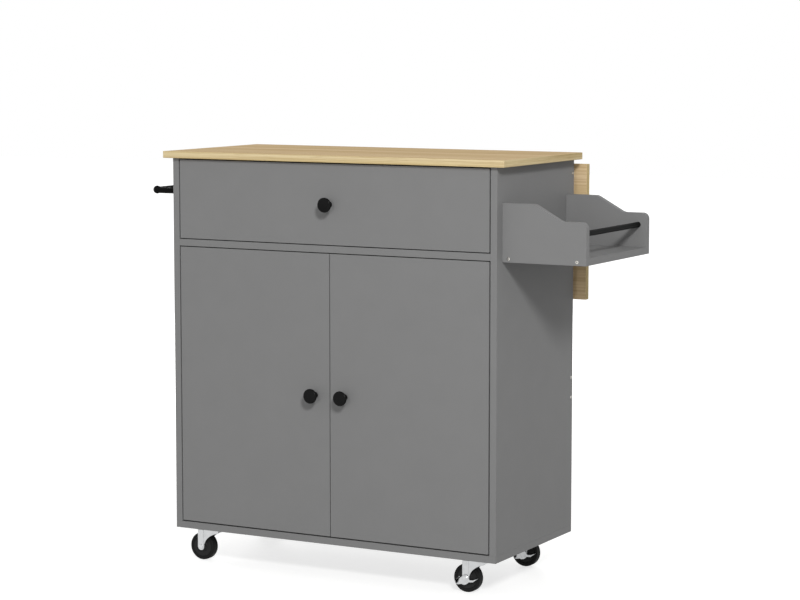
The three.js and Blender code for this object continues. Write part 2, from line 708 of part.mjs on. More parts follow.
function spiceRack() {
  const group = new THREE.Group();
  const outerHalf = RACK_LENGTH / 2;
  const innerEnd = outerHalf - BOARD;
  const railAt = [halfWidth + RACK_RAIL_REACH, rackBottom + RACK_RAIL_RISE];
  const socket = (span) => rod(RACK_RAIL_DIAMETER + 2 * CLEARANCE, ALONG_Y, span, railAt);
  const railHalf = innerEnd + RAIL_SOCKET - CLEARANCE;
  const frontEnd = prism(rackEndOutline(), ALONG_Y, [-outerHalf, -innerEnd]);
  const rearEnd = prism(rackEndOutline(), ALONG_Y, [innerEnd, outerHalf]);
  const frontSocket = socket([-innerEnd - RAIL_SOCKET, -innerEnd + BEYOND]);
  const rearSocket = socket([innerEnd - BEYOND, innerEnd + RAIL_SOCKET]);
  group.add(
    piece("rack_front_end", cut(frontEnd, frontSocket), FINISH.greyBoard),
    piece("rack_rear_end", cut(rearEnd, rearSocket), FINISH.greyBoard),
    piece(
      "rack_bottom",
      box([halfWidth, rackOuter], [-innerEnd, innerEnd], [rackBottom, rackBottom + BOARD]),
      FINISH.greyBoard,
    ),
    piece("rack_rail", rod(RACK_RAIL_DIAMETER, ALONG_Y, [-railHalf, railHalf], railAt), FINISH.blackTube),
  );
  return group;
}

// ---------------------------------------------------------------- towel bar

function towelBar() {
  const group = new THREE.Group();
  const postZ = worktopUnderside - TOWEL_DROP;
  const barX = -halfWidth - TOWEL_REACH;
  const barZ = postZ + TOWEL_BALL_RISE;
  const ends = { front: -TOWEL_SPAN / 2, rear: TOWEL_SPAN / 2 };
  for (const [end, y] of Object.entries(ends)) {
    const stem = rod(TOWEL_DIAMETER, ALONG_X, [barX, -halfWidth], [y, postZ]);
    const ball = new THREE.SphereGeometry(TOWEL_BALL_DIAMETER / 2, ROUND_SIDES, ROUND_SIDES / 2);
    ball.translate(barX, y, barZ);
    const inward = end === "front" ? [y, y + BEYOND] : [y - BEYOND, y];
    const socket = rod(TOWEL_DIAMETER + 2 * CLEARANCE, ALONG_Y, inward, [barX, barZ]);
    group.add(piece("towel_" + end + "_post", cut(join(stem, ball), socket), FINISH.blackTube));
  }
  const half = TOWEL_SPAN / 2 - CLEARANCE;
  group.add(piece("towel_bar", rod(TOWEL_DIAMETER, ALONG_Y, [-half, half], [barX, barZ]), FINISH.blackTube));
  return group;
}

// ---------------------------------------------------------------- drop leaf and its brackets

// The leaf's inner face hangs as far behind the hinge axis as the axis lies below the worktop.
const leafInner = leafPivotY + LEAF_PIVOT_DROP;
const leafTop = leafPivotZ + LEAF_PIVOT_OUT - LEAF_JOINT_GAP;

const cheekInner = CHEEK_GAP / 2;
const cheekOuter = cheekInner + SHEET;
const armInner = cheekOuter + ARM_CHEEK_GAP;
const armOuter = armInner + SHEET;
const armEdge = LEAF_PIVOT_OUT - WALL_PLATE_SHEET - CLEARANCE;

// Wall plate: a plate on the cabinet's back with two cheeks, the hinge pin and the strut's pin.
function wallPlate(x) {
  const bottom = leafPivotZ - WALL_PLATE_DROP;
  const top = leafPivotZ + WALL_PLATE_RISE;
  const plateY = [halfDepth, halfDepth + WALL_PLATE_SHEET];
  const plate = box([x - WALL_PLATE_WIDTH / 2, x + WALL_PLATE_WIDTH / 2], plateY, [bottom, top]);
  const cheekBack = halfDepth + CHEEK_REACH;
  const lug = leafPivotY + WALL_PLATE_RISE;
  const cheekOutline = [
    [halfDepth + LAP, bottom],
    [cheekBack - CHEEK_CHAMFER, bottom],
    [cheekBack, bottom + CHEEK_CHAMFER],
    [cheekBack, leafPivotZ - WALL_PLATE_RISE],
    [lug, leafPivotZ],
    [lug - LUG_CHAMFER, top - LUG_CHAMFER],
    [leafPivotY, top],
    [halfDepth + LAP, top],
  ];
  const cheeks = [-cheekOuter, cheekInner].map((start) =>
    prism(cheekOutline, ALONG_X, [x + start, x + start + SHEET]),
  );
  const pinHalf = armOuter + PIVOT_PIN_PROUD;
  const hingePinSpan = [x - pinHalf, x + pinHalf];
  const hingePin = rod(PIVOT_PIN_DIAMETER, ALONG_X, hingePinSpan, [leafPivotY, leafPivotZ], PIN_SIDES);
  const strutPinHalf = cheekOuter - CLEARANCE;
  const strutPinSpan = [x - strutPinHalf, x + strutPinHalf];
  const strutPin = rod(PIVOT_PIN_DIAMETER, ALONG_X, strutPinSpan, [strutPivotY, strutPivotZ], PIN_SIDES);
  return join(plate, ...cheeks, hingePin, strutPin);
}

const strutPivotY = leafPivotY + SLOT_OFFSET;
const strutPivotZ = leafPivotZ - STRUT_PIVOT_DROP;

// Arm: a channel screwed to the leaf, turning on the hinge pin, with a slot in each cheek.
function bracketArm(x) {
  const low = leafPivotZ - BRACKET_ARM_LENGTH;
  const edge = leafPivotY - armEdge;
  const outline = new THREE.Shape();
  outline.moveTo(edge, low + armEdge);
  outline.lineTo(edge + armEdge, low);
  outline.lineTo(leafInner, low);
  outline.lineTo(leafInner, leafPivotZ + armEdge);
  outline.lineTo(leafPivotY, leafPivotZ + armEdge);
  outline.absarc(leafPivotY, leafPivotZ, armEdge, Math.PI / 2, Math.PI, false);
  outline.closePath();
  const slotY = leafPivotY + SLOT_OFFSET;
  const slotEnd = STRUT_PIVOT_DROP + STRUT_LENGTH + STRUT_PIN_DIAMETER;
  const slot = link([slotY, leafPivotZ - slotEnd], [slotY, leafPivotZ - SLOT_START], SLOT_WIDTH);
  const cheeks = [-armOuter, armInner].map((start) =>
    prism(outline, ALONG_X, [x + start, x + start + SHEET]),
  );
  const webTop = leafPivotZ - SHEET;
  const web = box([x - armOuter, x + armOuter], [leafInner - SHEET, leafInner], [low, webTop]);
  const wide = [x - armOuter - BEYOND, x + armOuter + BEYOND];
  const pinBore = PIVOT_PIN_DIAMETER + 2 * CLEARANCE;
  const pinHole = rod(pinBore, ALONG_X, wide, [leafPivotY, leafPivotZ], PIN_SIDES);
  return cut(join(web, ...cheeks), prism(slot, ALONG_X, wide), pinHole);
}

// Strut: swings out on its pin while its far pin runs along the arm's slots.
function bracketStrut(x) {
  const far = [strutPivotY, strutPivotZ - STRUT_LENGTH];
  const near = [strutPivotY, strutPivotZ];
  const half = STRUT_THICKNESS / 2;
  const bar = prism(link(far, near, STRUT_WIDTH), ALONG_X, [x - half, x + half]);
  const wide = [x - half - BEYOND, x + half + BEYOND];
  const hole = rod(PIVOT_PIN_DIAMETER + 2 * CLEARANCE, ALONG_X, wide, near, PIN_SIDES);
  const pinHalf = armInner - CLEARANCE;
  const slotPin = rod(STRUT_PIN_DIAMETER, ALONG_X, [x - pinHalf, x + pinHalf], far, PIN_SIDES);
  return join(cut(bar, hole), slotPin);
}

function leafAssembly() {
  const group = new THREE.Group();
  const leafHeight = [leafTop - LEAF_LENGTH, leafTop];
  group.add(
    piece(
      "drop_leaf",
      box([-worktopHalf, worktopHalf], [leafInner, leafInner + BOARD], leafHeight),
      FINISH.oakBoard,
    ),
  );
  for (const side of SIDES) {
    const x = (side === "right" ? 1 : -1) * (halfWidth - BRACKET_INSET);
    group.add(
      piece(side + "_bracket_wall_plate", wallPlate(x), FINISH.zinc),
      piece(side + "_bracket_arm", bracketArm(x), FINISH.zinc),
      piece(side + "_bracket_strut", bracketStrut(x), FINISH.zinc),
    );
  }
  return group;
}

// ---------------------------------------------------------------- casters

const axleZ = WHEEL_DIAMETER / 2;
const crownBottom = WHEEL_DIAMETER + WHEEL_TO_CROWN;
const crownTop = crownBottom + CROWN_SHEET;
const forkInner = WHEEL_WIDTH / 2 + FORK_WHEEL_GAP;
const forkOuter = forkInner + FORK_SHEET;

// Top plate about the swivel axis, with its ball race and the king pin that holds the fork.
function casterPlate() {
  const halfLength = CASTER_PLATE_LENGTH / 2 - PLATE_CORNER_RADIUS;
  const halfBreadth = CASTER_PLATE_WIDTH / 2 - PLATE_CORNER_RADIUS;
  const outline = new THREE.Shape();
  const corners = [
    [halfLength, halfBreadth],
    [-halfLength, halfBreadth],
    [-halfLength, -halfBreadth],
    [halfLength, -halfBreadth],
  ];
  corners.forEach(([u, v], quarter) => {
    const start = (quarter * Math.PI) / 2;
    outline.absarc(u, v, PLATE_CORNER_RADIUS, start, start + Math.PI / 2, false);
  });
  outline.closePath();
  const plate = prism(outline, ALONG_Z, [underside - CASTER_PLATE_SHEET, underside]);
  const raceSpan = [crownTop + CLEARANCE, underside - CASTER_PLATE_SHEET + LAP];
  const race = rod(RACE_DIAMETER, ALONG_Z, raceSpan, [0, 0]);
  const pinSpan = [crownBottom - KING_PIN_HEAD, crownTop + CLEARANCE + LAP];
  const pin = rod(KING_PIN_DIAMETER, ALONG_Z, pinSpan, [0, 0]);
  const headSpan = [crownBottom - CLEARANCE - KING_PIN_HEAD, crownBottom - CLEARANCE];
  const head = rod(KING_PIN_HEAD_DIAMETER, ALONG_Z, headSpan, [0, 0]);
  return join(plate, race, pin, head);
}

// One cheek's outline: a straight leg, round at the axle, with a web curving out under the crown.
function forkOutline() {
  const legHalf = FORK_LEG_WIDTH / 2;
  const left = -CASTER_TRAIL - legHalf;
  const right = left + FORK_TOP_WIDTH;
  const webLow = axleZ + FORK_WEB_RISE;
  const legRight = left + FORK_LEG_WIDTH;
  const shape = new THREE.Shape();
  shape.moveTo(left, crownTop);
  shape.lineTo(left, axleZ);
  shape.absarc(-CASTER_TRAIL, axleZ, legHalf, Math.PI, 2 * Math.PI, false);
  shape.lineTo(legRight, webLow);
  const bend = [legRight + FORK_WEB_TURN, crownBottom - FORK_WEB_DEPTH];
  shape.quadraticCurveTo(...bend, right, crownBottom - FORK_TIP_DEPTH);
  shape.lineTo(right, crownTop);
  shape.closePath();
  return shape;
}

// Fork with its axle. A braked caster's axle is longer at the front, to carry the pedal.
function casterFork(braked) {
  const outline = forkOutline();
  const cheek = (start) => prism(outline, ALONG_Y, [start, start + FORK_SHEET]);
  const cheeks = [-forkOuter, forkInner].map(cheek);
  const left = -CASTER_TRAIL - FORK_LEG_WIDTH / 2;
  const crown = box([left, left + FORK_TOP_WIDTH], [-forkOuter, forkOuter], [crownBottom, crownTop]);
  const pinHole = rod(KING_PIN_DIAMETER + 2 * CLEARANCE, ALONG_Z, [0, crownTop + BEYOND], [0, 0]);
  const axleAt = [-CASTER_TRAIL, axleZ];
  const frontSeat = braked ? forkOuter + BRAKE_SHEET + 2 * CLEARANCE : forkOuter;
  const axle = rod(AXLE_DIAMETER, ALONG_Y, [-frontSeat, forkOuter], axleAt);
  const frontHead = rod(AXLE_HEAD_DIAMETER, ALONG_Y, [-frontSeat - AXLE_HEAD, -frontSeat], axleAt);
  const rearHead = rod(AXLE_HEAD_DIAMETER, ALONG_Y, [forkOuter, forkOuter + AXLE_HEAD], axleAt);
  return join(cut(join(...cheeks, crown), pinHole), axle, frontHead, rearHead);
}

function casterWheel() {
  const radius = WHEEL_DIAMETER / 2;
  const half = WHEEL_WIDTH / 2;
  const bore = AXLE_DIAMETER / 2 + CLEARANCE;
  const hub = HUB_DIAMETER / 2;
  const upper = [
    [bore, half],
    [hub, half],
    [hub + HUB_RECESS, half - HUB_RECESS],
    [radius - 2 * WHEEL_SHOULDER, half - HUB_RECESS],
    [radius - WHEEL_SHOULDER, half - TREAD_EDGE],
    [radius, half - WHEEL_SHOULDER],
  ];
  const lower = upper.map(([r, h]) => [r, -h]).reverse();
  const profile = [...upper, ...lower, upper[0]].reverse();
  const wheel = new THREE.LatheGeometry(points(profile), WHEEL_SIDES);
  return toGeometry(toSolid(wheel.translate(-CASTER_TRAIL, 0, 0))).translate(0, 0, axleZ);
}

// Brake pedal: a rocker on the axle, toe low at the left, narrow heel reaching out at the right.
function brakePedal() {
  const hub = BRAKE_HUB_DIAMETER / 2;
  const heelBottom = -BRAKE_HEEL_DROP + BRAKE_HEEL_TAPER;
  const shape = new THREE.Shape();
  shape.moveTo(-BRAKE_TOE, -BRAKE_TOE_DROP + BRAKE_TOE_RISE);
  shape.lineTo(-BRAKE_TOE + BRAKE_TOE_FOOT, -BRAKE_TOE_DROP);
  shape.lineTo(-hub, -BRAKE_TOE_DROP + BRAKE_ARCH);
  shape.quadraticCurveTo(0, -BRAKE_BELLY, hub, -BRAKE_HEEL_DROP);
  shape.lineTo(BRAKE_HEEL_START, heelBottom);
  shape.lineTo(BRAKE_HEEL, BRAKE_HEEL_RISE);
  shape.lineTo(BRAKE_HEEL_START, -BRAKE_HEEL_LEVEL);
  shape.lineTo(hub + BRAKE_HEEL_LEVEL, -BRAKE_HEEL_LEVEL);
  shape.absarc(0, 0, hub, 0, BRAKE_HUB_END, false);
  shape.closePath();
  const start = -forkOuter - CLEARANCE - BRAKE_SHEET;
  const plate = prism(shape, ALONG_Y, [start, start + BRAKE_SHEET]);
  const hole = rod(AXLE_DIAMETER + 2 * CLEARANCE, ALONG_Y, [start - BEYOND, start + BEYOND], [0, 0]);
  return cut(plate, hole).translate(-CASTER_TRAIL, 0, axleZ);
}

function casters() {
  const group = new THREE.Group();
  for (const end of ["front", "rear"]) {
    for (const side of SIDES) {
      const braked = side === "right";
      const x = (braked ? 1 : -1) * (halfWidth - CASTER_SIDE_INSET);
      const y = (end === "rear" ? 1 : -1) * (halfDepth - CASTER_END_INSET);
      const place = end + "_" + side;
      const caster = new THREE.Group();
      caster.add(
        piece(place + "_caster_plate", casterPlate(), FINISH.zinc),
        piece(place + "_caster_fork", casterFork(braked), FINISH.zinc),
        piece(place + "_caster_wheel", casterWheel(), FINISH.blackWheel),
      );
      if (braked) {
        caster.add(piece(place + "_brake_pedal", brakePedal(), FINISH.zinc));
      }
      caster.position.set(x, y, 0);
      group.add(caster);
    }
  }
  return group;
}

// ---------------------------------------------------------------- the island

const island = new THREE.Group();
island.add(carcass(), drawer(), doors(), spiceRack(), towelBar(), leafAssembly(), casters());

// The origin is the middle of the whole island's footprint, on the floor.
const extent = new THREE.Box3().setFromObject(island, true);
const middle = extent.getCenter(new THREE.Vector3());
island.position.set(-middle.x, -middle.y, -extent.min.z);

export default island;
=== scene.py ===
"""Looks of a drop leaf kitchen island on casters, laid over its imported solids.

Places are in metres in the frame of the solids: X to the right, Y to the back, Z up from the floor.
Sizes in the dataclasses are in millimetres. Each class dresses one sub-assembly.
"""

import logging
import math
from collections.abc import Callable, Iterable, Sequence
from dataclasses import dataclass, field
from enum import Enum

import bmesh
import bpy
from mathutils import Matrix, Vector


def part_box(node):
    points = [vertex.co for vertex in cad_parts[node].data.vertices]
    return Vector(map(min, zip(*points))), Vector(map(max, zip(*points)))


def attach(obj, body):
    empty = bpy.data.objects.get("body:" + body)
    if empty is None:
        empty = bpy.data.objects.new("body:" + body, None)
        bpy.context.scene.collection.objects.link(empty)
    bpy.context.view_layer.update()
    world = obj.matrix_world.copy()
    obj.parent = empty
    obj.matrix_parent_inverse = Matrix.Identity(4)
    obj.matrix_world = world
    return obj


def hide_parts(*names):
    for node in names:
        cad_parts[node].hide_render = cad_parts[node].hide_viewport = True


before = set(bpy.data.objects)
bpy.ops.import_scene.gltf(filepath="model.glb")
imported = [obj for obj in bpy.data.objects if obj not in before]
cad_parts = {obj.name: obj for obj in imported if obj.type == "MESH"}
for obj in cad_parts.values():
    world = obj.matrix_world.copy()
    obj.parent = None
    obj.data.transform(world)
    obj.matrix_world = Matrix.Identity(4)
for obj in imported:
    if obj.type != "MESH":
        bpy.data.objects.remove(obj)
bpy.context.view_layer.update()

log = logging.getLogger("island")

Socket = bpy.types.NodeSocket
Pair = tuple[float, float]

MM = 0.001
SMOOTH_UNDER = math.radians(38)
FLAT_WITHIN = math.radians(1)
WELD_MM = 0.002

RIGHT = Vector((1, 0, 0))
LEFT = Vector((-1, 0, 0))
BACK = Vector((0, 1, 0))
FRONT = Vector((0, -1, 0))
UP = Vector((0, 0, 1))
DOWN = Vector((0, 0, -1))


class Side(Enum):
    """The two sides of the cabinet, with the sign of X on each."""

    LEFT = "left"
    RIGHT = "right"

    @property
    def sign(self) -> int:
        """-1 on the left and 1 on the right."""
        return 1 if self is Side.RIGHT else -1

    @property
    def inward(self) -> Vector:
        """The direction from this side panel into the cabinet."""
        return LEFT if self is Side.RIGHT else RIGHT


class End(Enum):
    """The front and rear ends of the cabinet, with the sign of Y at each."""

    FRONT = "front"
    REAR = "rear"

    @property
    def sign(self) -> int:
        """-1 at the front and 1 at the rear."""
        return 1 if self is End.REAR else -1

    @property
    def outward(self) -> Vector:
        """The direction out of the cabinet at this end."""
        return BACK if self is End.REAR else FRONT


class Level(Enum):
    """The two hinges of a door."""

    LOWER = "lower"
    UPPER = "upper"


class Axis(Enum):
    """The axis that wood grain or an extruded plate runs along."""

    X = 0
    Y = 1
    Z = 2

    def point(self, along: float, u: float, v: float) -> Vector:
        """A point from its place along this axis and its two other places, in order.

        Args:
            along: place along this axis.
            u: place along the first of the other axes.
            v: place along the second of them.

        Returns:
            The point.
        """
        places = [u, v]
        places.insert(self.value, along)
        return Vector(places)


class Drive(Enum):
    """The recess in a screw's head."""

    HEX = "hex"
    CROSS = "cross"

    def ring(self) -> list[tuple[float, float]]:
        """The recess's outline.

        Returns:
            24 pairs of an angle and a radius, where 1 is the recess's greatest radius.
        """
        if self is Drive.HEX:
            steps = [math.radians(15 * step) for step in range(24)]
            flat = math.cos(math.pi / 6)
            return [(a, flat / math.cos(a % (math.pi / 3) - math.pi / 6)) for a in steps]
        wing = 0.3  # half of a wing's width
        tip = math.atan(wing)
        quarter = [
            (0.0, 1.0),
            (tip, math.hypot(1, wing)),
            (math.radians(30), 2 * wing),
            (math.radians(45), math.sqrt(2) * wing),
            (math.radians(60), 2 * wing),
            (math.pi / 2 - tip, math.hypot(1, wing)),
        ]
        return [(a + turn * math.pi / 2, r) for turn in range(4) for a, r in quarter]


# ---------------------------------------------------------------------------- finishes


def linear(colour: str) -> tuple[float, float, float, float]:
    """Turns an sRGB hex colour to the linear values that Blender's sockets take.

    Args:
        colour: a colour such as "#82807e".

    Returns:
        Linear red, green, blue and an alpha of 1.
    """
    parts = [int(colour[i : i + 2], 16) / 255 for i in (1, 3, 5)]
    red, green, blue = (c / 12.92 if c <= 0.04045 else ((c + 0.055) / 1.055) ** 2.4 for c in parts)
    return red, green, blue, 1.0


def add_node(
    tree: bpy.types.NodeTree,
    kind: str,
    settings: dict[str | int, object] | None = None,
    links: dict[str | int, Socket] | None = None,
) -> bpy.types.Node:
    """Adds a shader node with its settings and links.

    Args:
        tree: the material's or world's node tree.
        kind: Blender's name of the node's type.
        settings: values by property name, or by an input's name or number.
        links: sockets to join to the node's inputs, by the input's name or number.

    Returns:
        The new node.
    """
    node = tree.nodes.new(kind)
    for key, value in (settings or {}).items():
        if isinstance(key, str) and hasattr(node, key):
            setattr(node, key, value)
        else:
            node.inputs[key].default_value = value
    for key, socket in (links or {}).items():
        tree.links.new(socket, node.inputs[key])
    return node


# Input and output numbers of the Mix node in its colour form.
MIX_A, MIX_B, MIX_RESULT = 6, 7, 2


class Paint:
    """The nodes of one material, laid from its patterns to its shader."""

    def __init__(self, material: bpy.types.Material) -> None:
        """Starts with the shader that a new material has.

        Args:
            material: the material.
        """
        material.use_nodes = True
        self.tree = material.node_tree
        self.shader = self.tree.nodes["Principled BSDF"]

    def put(self, name: str, value: object) -> None:
        """Sets one of the shader's inputs, or joins a socket to it.

        Args:
            name: the input's name.
            value: a constant or a socket.
        """
        if isinstance(value, Socket):
            self.tree.links.new(value, self.shader.inputs[name])
        else:
            self.shader.inputs[name].default_value = value

    def grain(
        self, spacing_mm: Sequence[float], detail: float = 3.0, roughness: float = 0.5
    ) -> Socket:
        """Noise in the part's own space, so that it stays with the piece.

        Args:
            spacing_mm: the pattern's size along X, Y and Z.
            detail: octaves of finer noise.
            roughness: strength of the finer octaves.

        Returns:
            The noise, from 0 to 1.
        """
        place = add_node(self.tree, "ShaderNodeTexCoord").outputs["Object"]
        scale = tuple(1 / (size * MM) for size in spacing_mm)  # repeats a metre
        stretch = add_node(self.tree, "ShaderNodeMapping", {"Scale": scale}, {"Vector": place})
        settings = {"Scale": 1.0, "Detail": detail, "Roughness": roughness}
        links = {"Vector": stretch.outputs["Vector"]}
        return add_node(self.tree, "ShaderNodeTexNoise", settings, links).outputs["Fac"]

    def mix(self, first: str | Socket, second: str, share: Socket) -> Socket:
        """Mixes two colours.

        Args:
            first: the colour at a share of 0, in hex or as a socket.
            second: the colour at a share of 1, in hex.
            share: the second colour's share.

        Returns:
            The mixed colour.
        """
        settings = {"data_type": "RGBA", MIX_B: linear(second)}
        links = {0: share}
        if isinstance(first, str):
            settings[MIX_A] = linear(first)
        else:
            links[MIX_A] = first
        return add_node(self.tree, "ShaderNodeMix", settings, links).outputs[MIX_RESULT]

    def fit(self, value: Socket, span: Pair = (0.0, 1.0), to: Pair = (0.0, 1.0)) -> Socket:
        """Maps a value from one range to another, and holds it at the ends.

        Args:
            value: the value.
            span: the ends of the range that it comes in.
            to: the values that these ends become.

        Returns:
            The mapped value.
        """
        names = ("From Min", "From Max", "To Min", "To Max")
        settings = dict(zip(names, (*span, *to)))
        links = {"Value": value}
        return add_node(self.tree, "ShaderNodeMapRange", settings, links).outputs["Result"]

    def emboss(self, height: Socket, strength: float, depth_mm: float, sunk: bool = False) -> None:
        """Gives the shader a relief.

        Args:
            height: its height, from 0 to 1.
            strength: how strongly it shows.
            depth_mm: its real depth.
            sunk: whether a greater height lies deeper.
        """
        settings = {"Strength": strength, "Distance": depth_mm * MM, "invert": sunk}
        relief = add_node(self.tree, "ShaderNodeBump", settings, {"Height": height})
        self.put("Normal", relief.outputs["Normal"])


@dataclass(frozen=True)
class Finish:
    """What every finish shares: one material, made when it is first asked for."""

    @property
    def title(self) -> str:
        """The material's name."""
        return type(self).__name__

    def material(self) -> bpy.types.Material:
        """The finish's material.

        Returns:
            The material, with its nodes.
        """
        material = bpy.data.materials.get(self.title)
        if material is None:
            material = bpy.data.materials.new(self.title)
            self.dress(Paint(material))
        return material

    def dress(self, paint: Paint) -> None:
        """Lays the finish's patterns and sets its shader.

        Args:
            paint: the material's nodes.
        """
        raise NotImplementedError


@dataclass(frozen=True)
class Coat(Finish):
    """A printed, sprayed or moulded surface, with clouds in its colour and grit in its gloss."""

    name: str
    colour: str
    roughness: float
    shade: str = ""  # the clouds' colour, if there are any
    cloud_mm: float = 60.0
    specular: float = 0.14
    grit_mm: float = 1.2  # 0 where the surface is even
    swing: float = 0.07  # how far the grit moves the roughness to each side
    relief_mm: float = 0.02
    relief: float = 0.4  # the relief's strength

    @property
    def title(self) -> str:
        """The material's name."""
        return self.name

    def dress(self, paint: Paint) -> None:
        """Lays the clouds, then breaks the gloss up with the grit."""
        colour: object = linear(self.colour)
        if self.shade:
            clouds = paint.grain([self.cloud_mm] * 3)
            colour = paint.mix(self.colour, self.shade, clouds)
        paint.put("Base Color", colour)
        paint.put("Roughness", self.roughness)
        paint.put("Specular IOR Level", self.specular)
        if self.grit_mm:
            grit = paint.grain([self.grit_mm] * 3, detail=2.0)
            gloss = (self.roughness - self.swing, self.roughness + self.swing)
            paint.put("Roughness", paint.fit(grit, to=gloss))
            paint.emboss(grit, self.relief, self.relief_mm)


@dataclass(frozen=True)
class OakLaminate(Finish):
    """Oak-printed melamine with a brushed, straight grain: warm, matt, with fine dark pores."""

    pale: str = "#e3cba4"
    middle: str = "#d5bc92"
    dark: str = "#a8855a"
    along: Axis = Axis.X
    roughness: float = 0.48
    specular: float = 0.0  # brushed matt: it shows no sheen even along the board
    band_mm: float = 38.0  # width of the paler and darker strips across the board
    streak_mm: float = 4.5
    pore_mm: float = 1.0  # oak's pores are about 0.3 mm wide, drawn coarser so that they show
    length_mm: float = 420.0
    pore_length_mm: float = 60.0
    relief_mm: float = 0.05
    relief: float = 0.35  # the relief's strength
    # Where each noise starts to show and shows in full, then the most that its colour covers.
    strip_span: Pair = (0.36, 0.64)
    streak_span: Pair = (0.42, 0.78)
    streak_cover: float = 0.75
    pore_span: Pair = (0.6, 0.72)
    pore_cover: float = 0.55

    @property
    def title(self) -> str:
        """The material's name, with the axis of its grain."""
        return f"{type(self).__name__}_{self.along.name}"

    def spacing(self, across_mm: float, length_mm: float) -> list[float]:
        """Sizes of a streak along X, Y and Z.

        Args:
            across_mm: its width.
            length_mm: its length along the grain.

        Returns:
            The three sizes.
        """
        sizes = [across_mm] * 3
        sizes[self.along.value] = length_mm
        return sizes

    def dress(self, paint: Paint) -> None:
        """Lays strips, then streaks, then pores, and sinks the pores."""
        strips = paint.grain(self.spacing(self.band_mm, 3 * self.length_mm), detail=2.0)
        streaks = paint.grain(self.spacing(self.streak_mm, self.length_mm), 6.0, 0.62)
        pores = paint.grain(self.spacing(self.pore_mm, self.pore_length_mm), 2.0)
        strip_share = paint.fit(strips, self.strip_span)
        streak_share = paint.fit(streaks, self.streak_span, (0.0, self.streak_cover))
        pore_share = paint.fit(pores, self.pore_span, (0.0, self.pore_cover))
        ground = paint.mix(self.pale, self.middle, strip_share)
        streaked = paint.mix(ground, self.dark, streak_share)
        paint.put("Base Color", paint.mix(streaked, self.dark, pore_share))
        paint.put("Roughness", self.roughness)
        paint.put("Specular IOR Level", self.specular)
        paint.emboss(pore_share, self.relief, self.relief_mm, sunk=True)


@dataclass(frozen=True)
class OakEdgeBand(OakLaminate):
    """The printed plastic strip ironed on the oak boards' edges: plainer than the face."""

    pale: str = "#e3d1a8"
    middle: str = "#d6c293"
    dark: str = "#9c7c48"
    band_mm: float = 12.0
    streak_mm: float = 2.5


@dataclass(frozen=True)
class PlatedSteel(Finish):
    """Plated pressed steel: pale metal, lightly brushed, duller in patches."""

    name: str
    colour: str
    patch: str
    roughness: float
    brush_mm: float = 0.8  # the rolling marks are about 0.1 mm, drawn coarser so that they show
    brush_length_mm: float = 30.0
    patch_mm: float = 9.0
    gloss: float = 0.08  # how far the roughness falls between the marks
    dulling: float = 0.12  # how far it rises on them

    @property
    def title(self) -> str:
        """The material's name."""
        return self.name

    def dress(self, paint: Paint) -> None:
        """Lays dull patches and rolling marks over the metal."""
        patches = paint.grain([self.patch_mm] * 3)
        marks = paint.grain([self.brush_mm, self.brush_mm, self.brush_length_mm])
        sheen = (self.roughness - self.gloss, self.roughness + self.dulling)
        paint.put("Metallic", 1.0)
        paint.put("Base Color", paint.mix(self.colour, self.patch, patches))
        paint.put("Roughness", paint.fit(marks, to=sheen))


OAK_FACE = OakLaminate()
# Melamine paper pressed on chipboard. Its grit is about 0.2 mm, drawn coarser so that it shows.
GREY = Coat(
    "GreyLaminate", "#828282", 0.5, "#7e7e7e", specular=0.08, grit_mm=1.1, swing=0.06, relief=0.5
)
# White foil on thin fibreboard: a little warm, with clouds where it has sunk into the board.
WHITE = Coat("WhiteFoil", "#e4e2dd", 0.55, "#dedbd5", cloud_mm=25.0, specular=0.5, grit_mm=0.0)
# The knobs' lacquer, with its soft flow marks, and the tubes' powder coat, with its orange peel.
LACQUER = Coat("BlackLacquer", "#0a0a0a", 0.24, specular=0.09, grit_mm=2.5, relief_mm=0.008)
POWDER = Coat("BlackPowderCoat", "#0d0d0d", 0.55, specular=0.04, grit_mm=0.9, relief_mm=0.03)
# The wheels' nylon cores, and their harder, duller rubber treads.
CORE = Coat("BlackNylon", "#222222", 0.5)
TREAD = Coat("BlackTread", "#141414", 0.68, relief_mm=0.04)
# The runners' nylon rollers and the epoxy powder on their steel.
ROLLER = Coat("WhiteNylon", "#dcdcd6", 0.45)
EPOXY = Coat("WhiteEpoxy", "#e6e6e3", 0.38, grit_mm=1.5)
# Painted shade: a dark colour for the bottom of a screw's recess and for a thin ring laid round its
# head, where the gap lies in shadow.
PAINTED_RECESS_SHADE = Coat("ScrewRecessPaintedShade", "#2c2b29", 0.8)
ZINC = PlatedSteel("BrightZinc", "#d0d1d2", "#bcbdbe", 0.34)
NICKEL = PlatedSteel("NickelPlate", "#cbc8c1", "#c1beb7", 0.24)


# ---------------------------------------------------------------------------- drafting


def standing(at: Vector, direction: Vector) -> Matrix:
    """The placement of a form that stands on a spot.

    Args:
        at: the spot.
        direction: the way that the form's own Z axis runs.

    Returns:
        The placement.
    """
    return Matrix.Translation(at) @ UP.rotation_difference(direction).to_matrix().to_4x4()


def parts_of(faces: Iterable[bmesh.types.BMFace], kind: str) -> list:
    """The faces' vertices or edges, once each, in the mesh's order, so that all runs are alike.

    Args:
        faces: the faces.
        kind: "verts" or "edges".

    Returns:
        The vertices or edges.
    """
    return list(dict.fromkeys(part for face in faces for part in getattr(face, kind)))


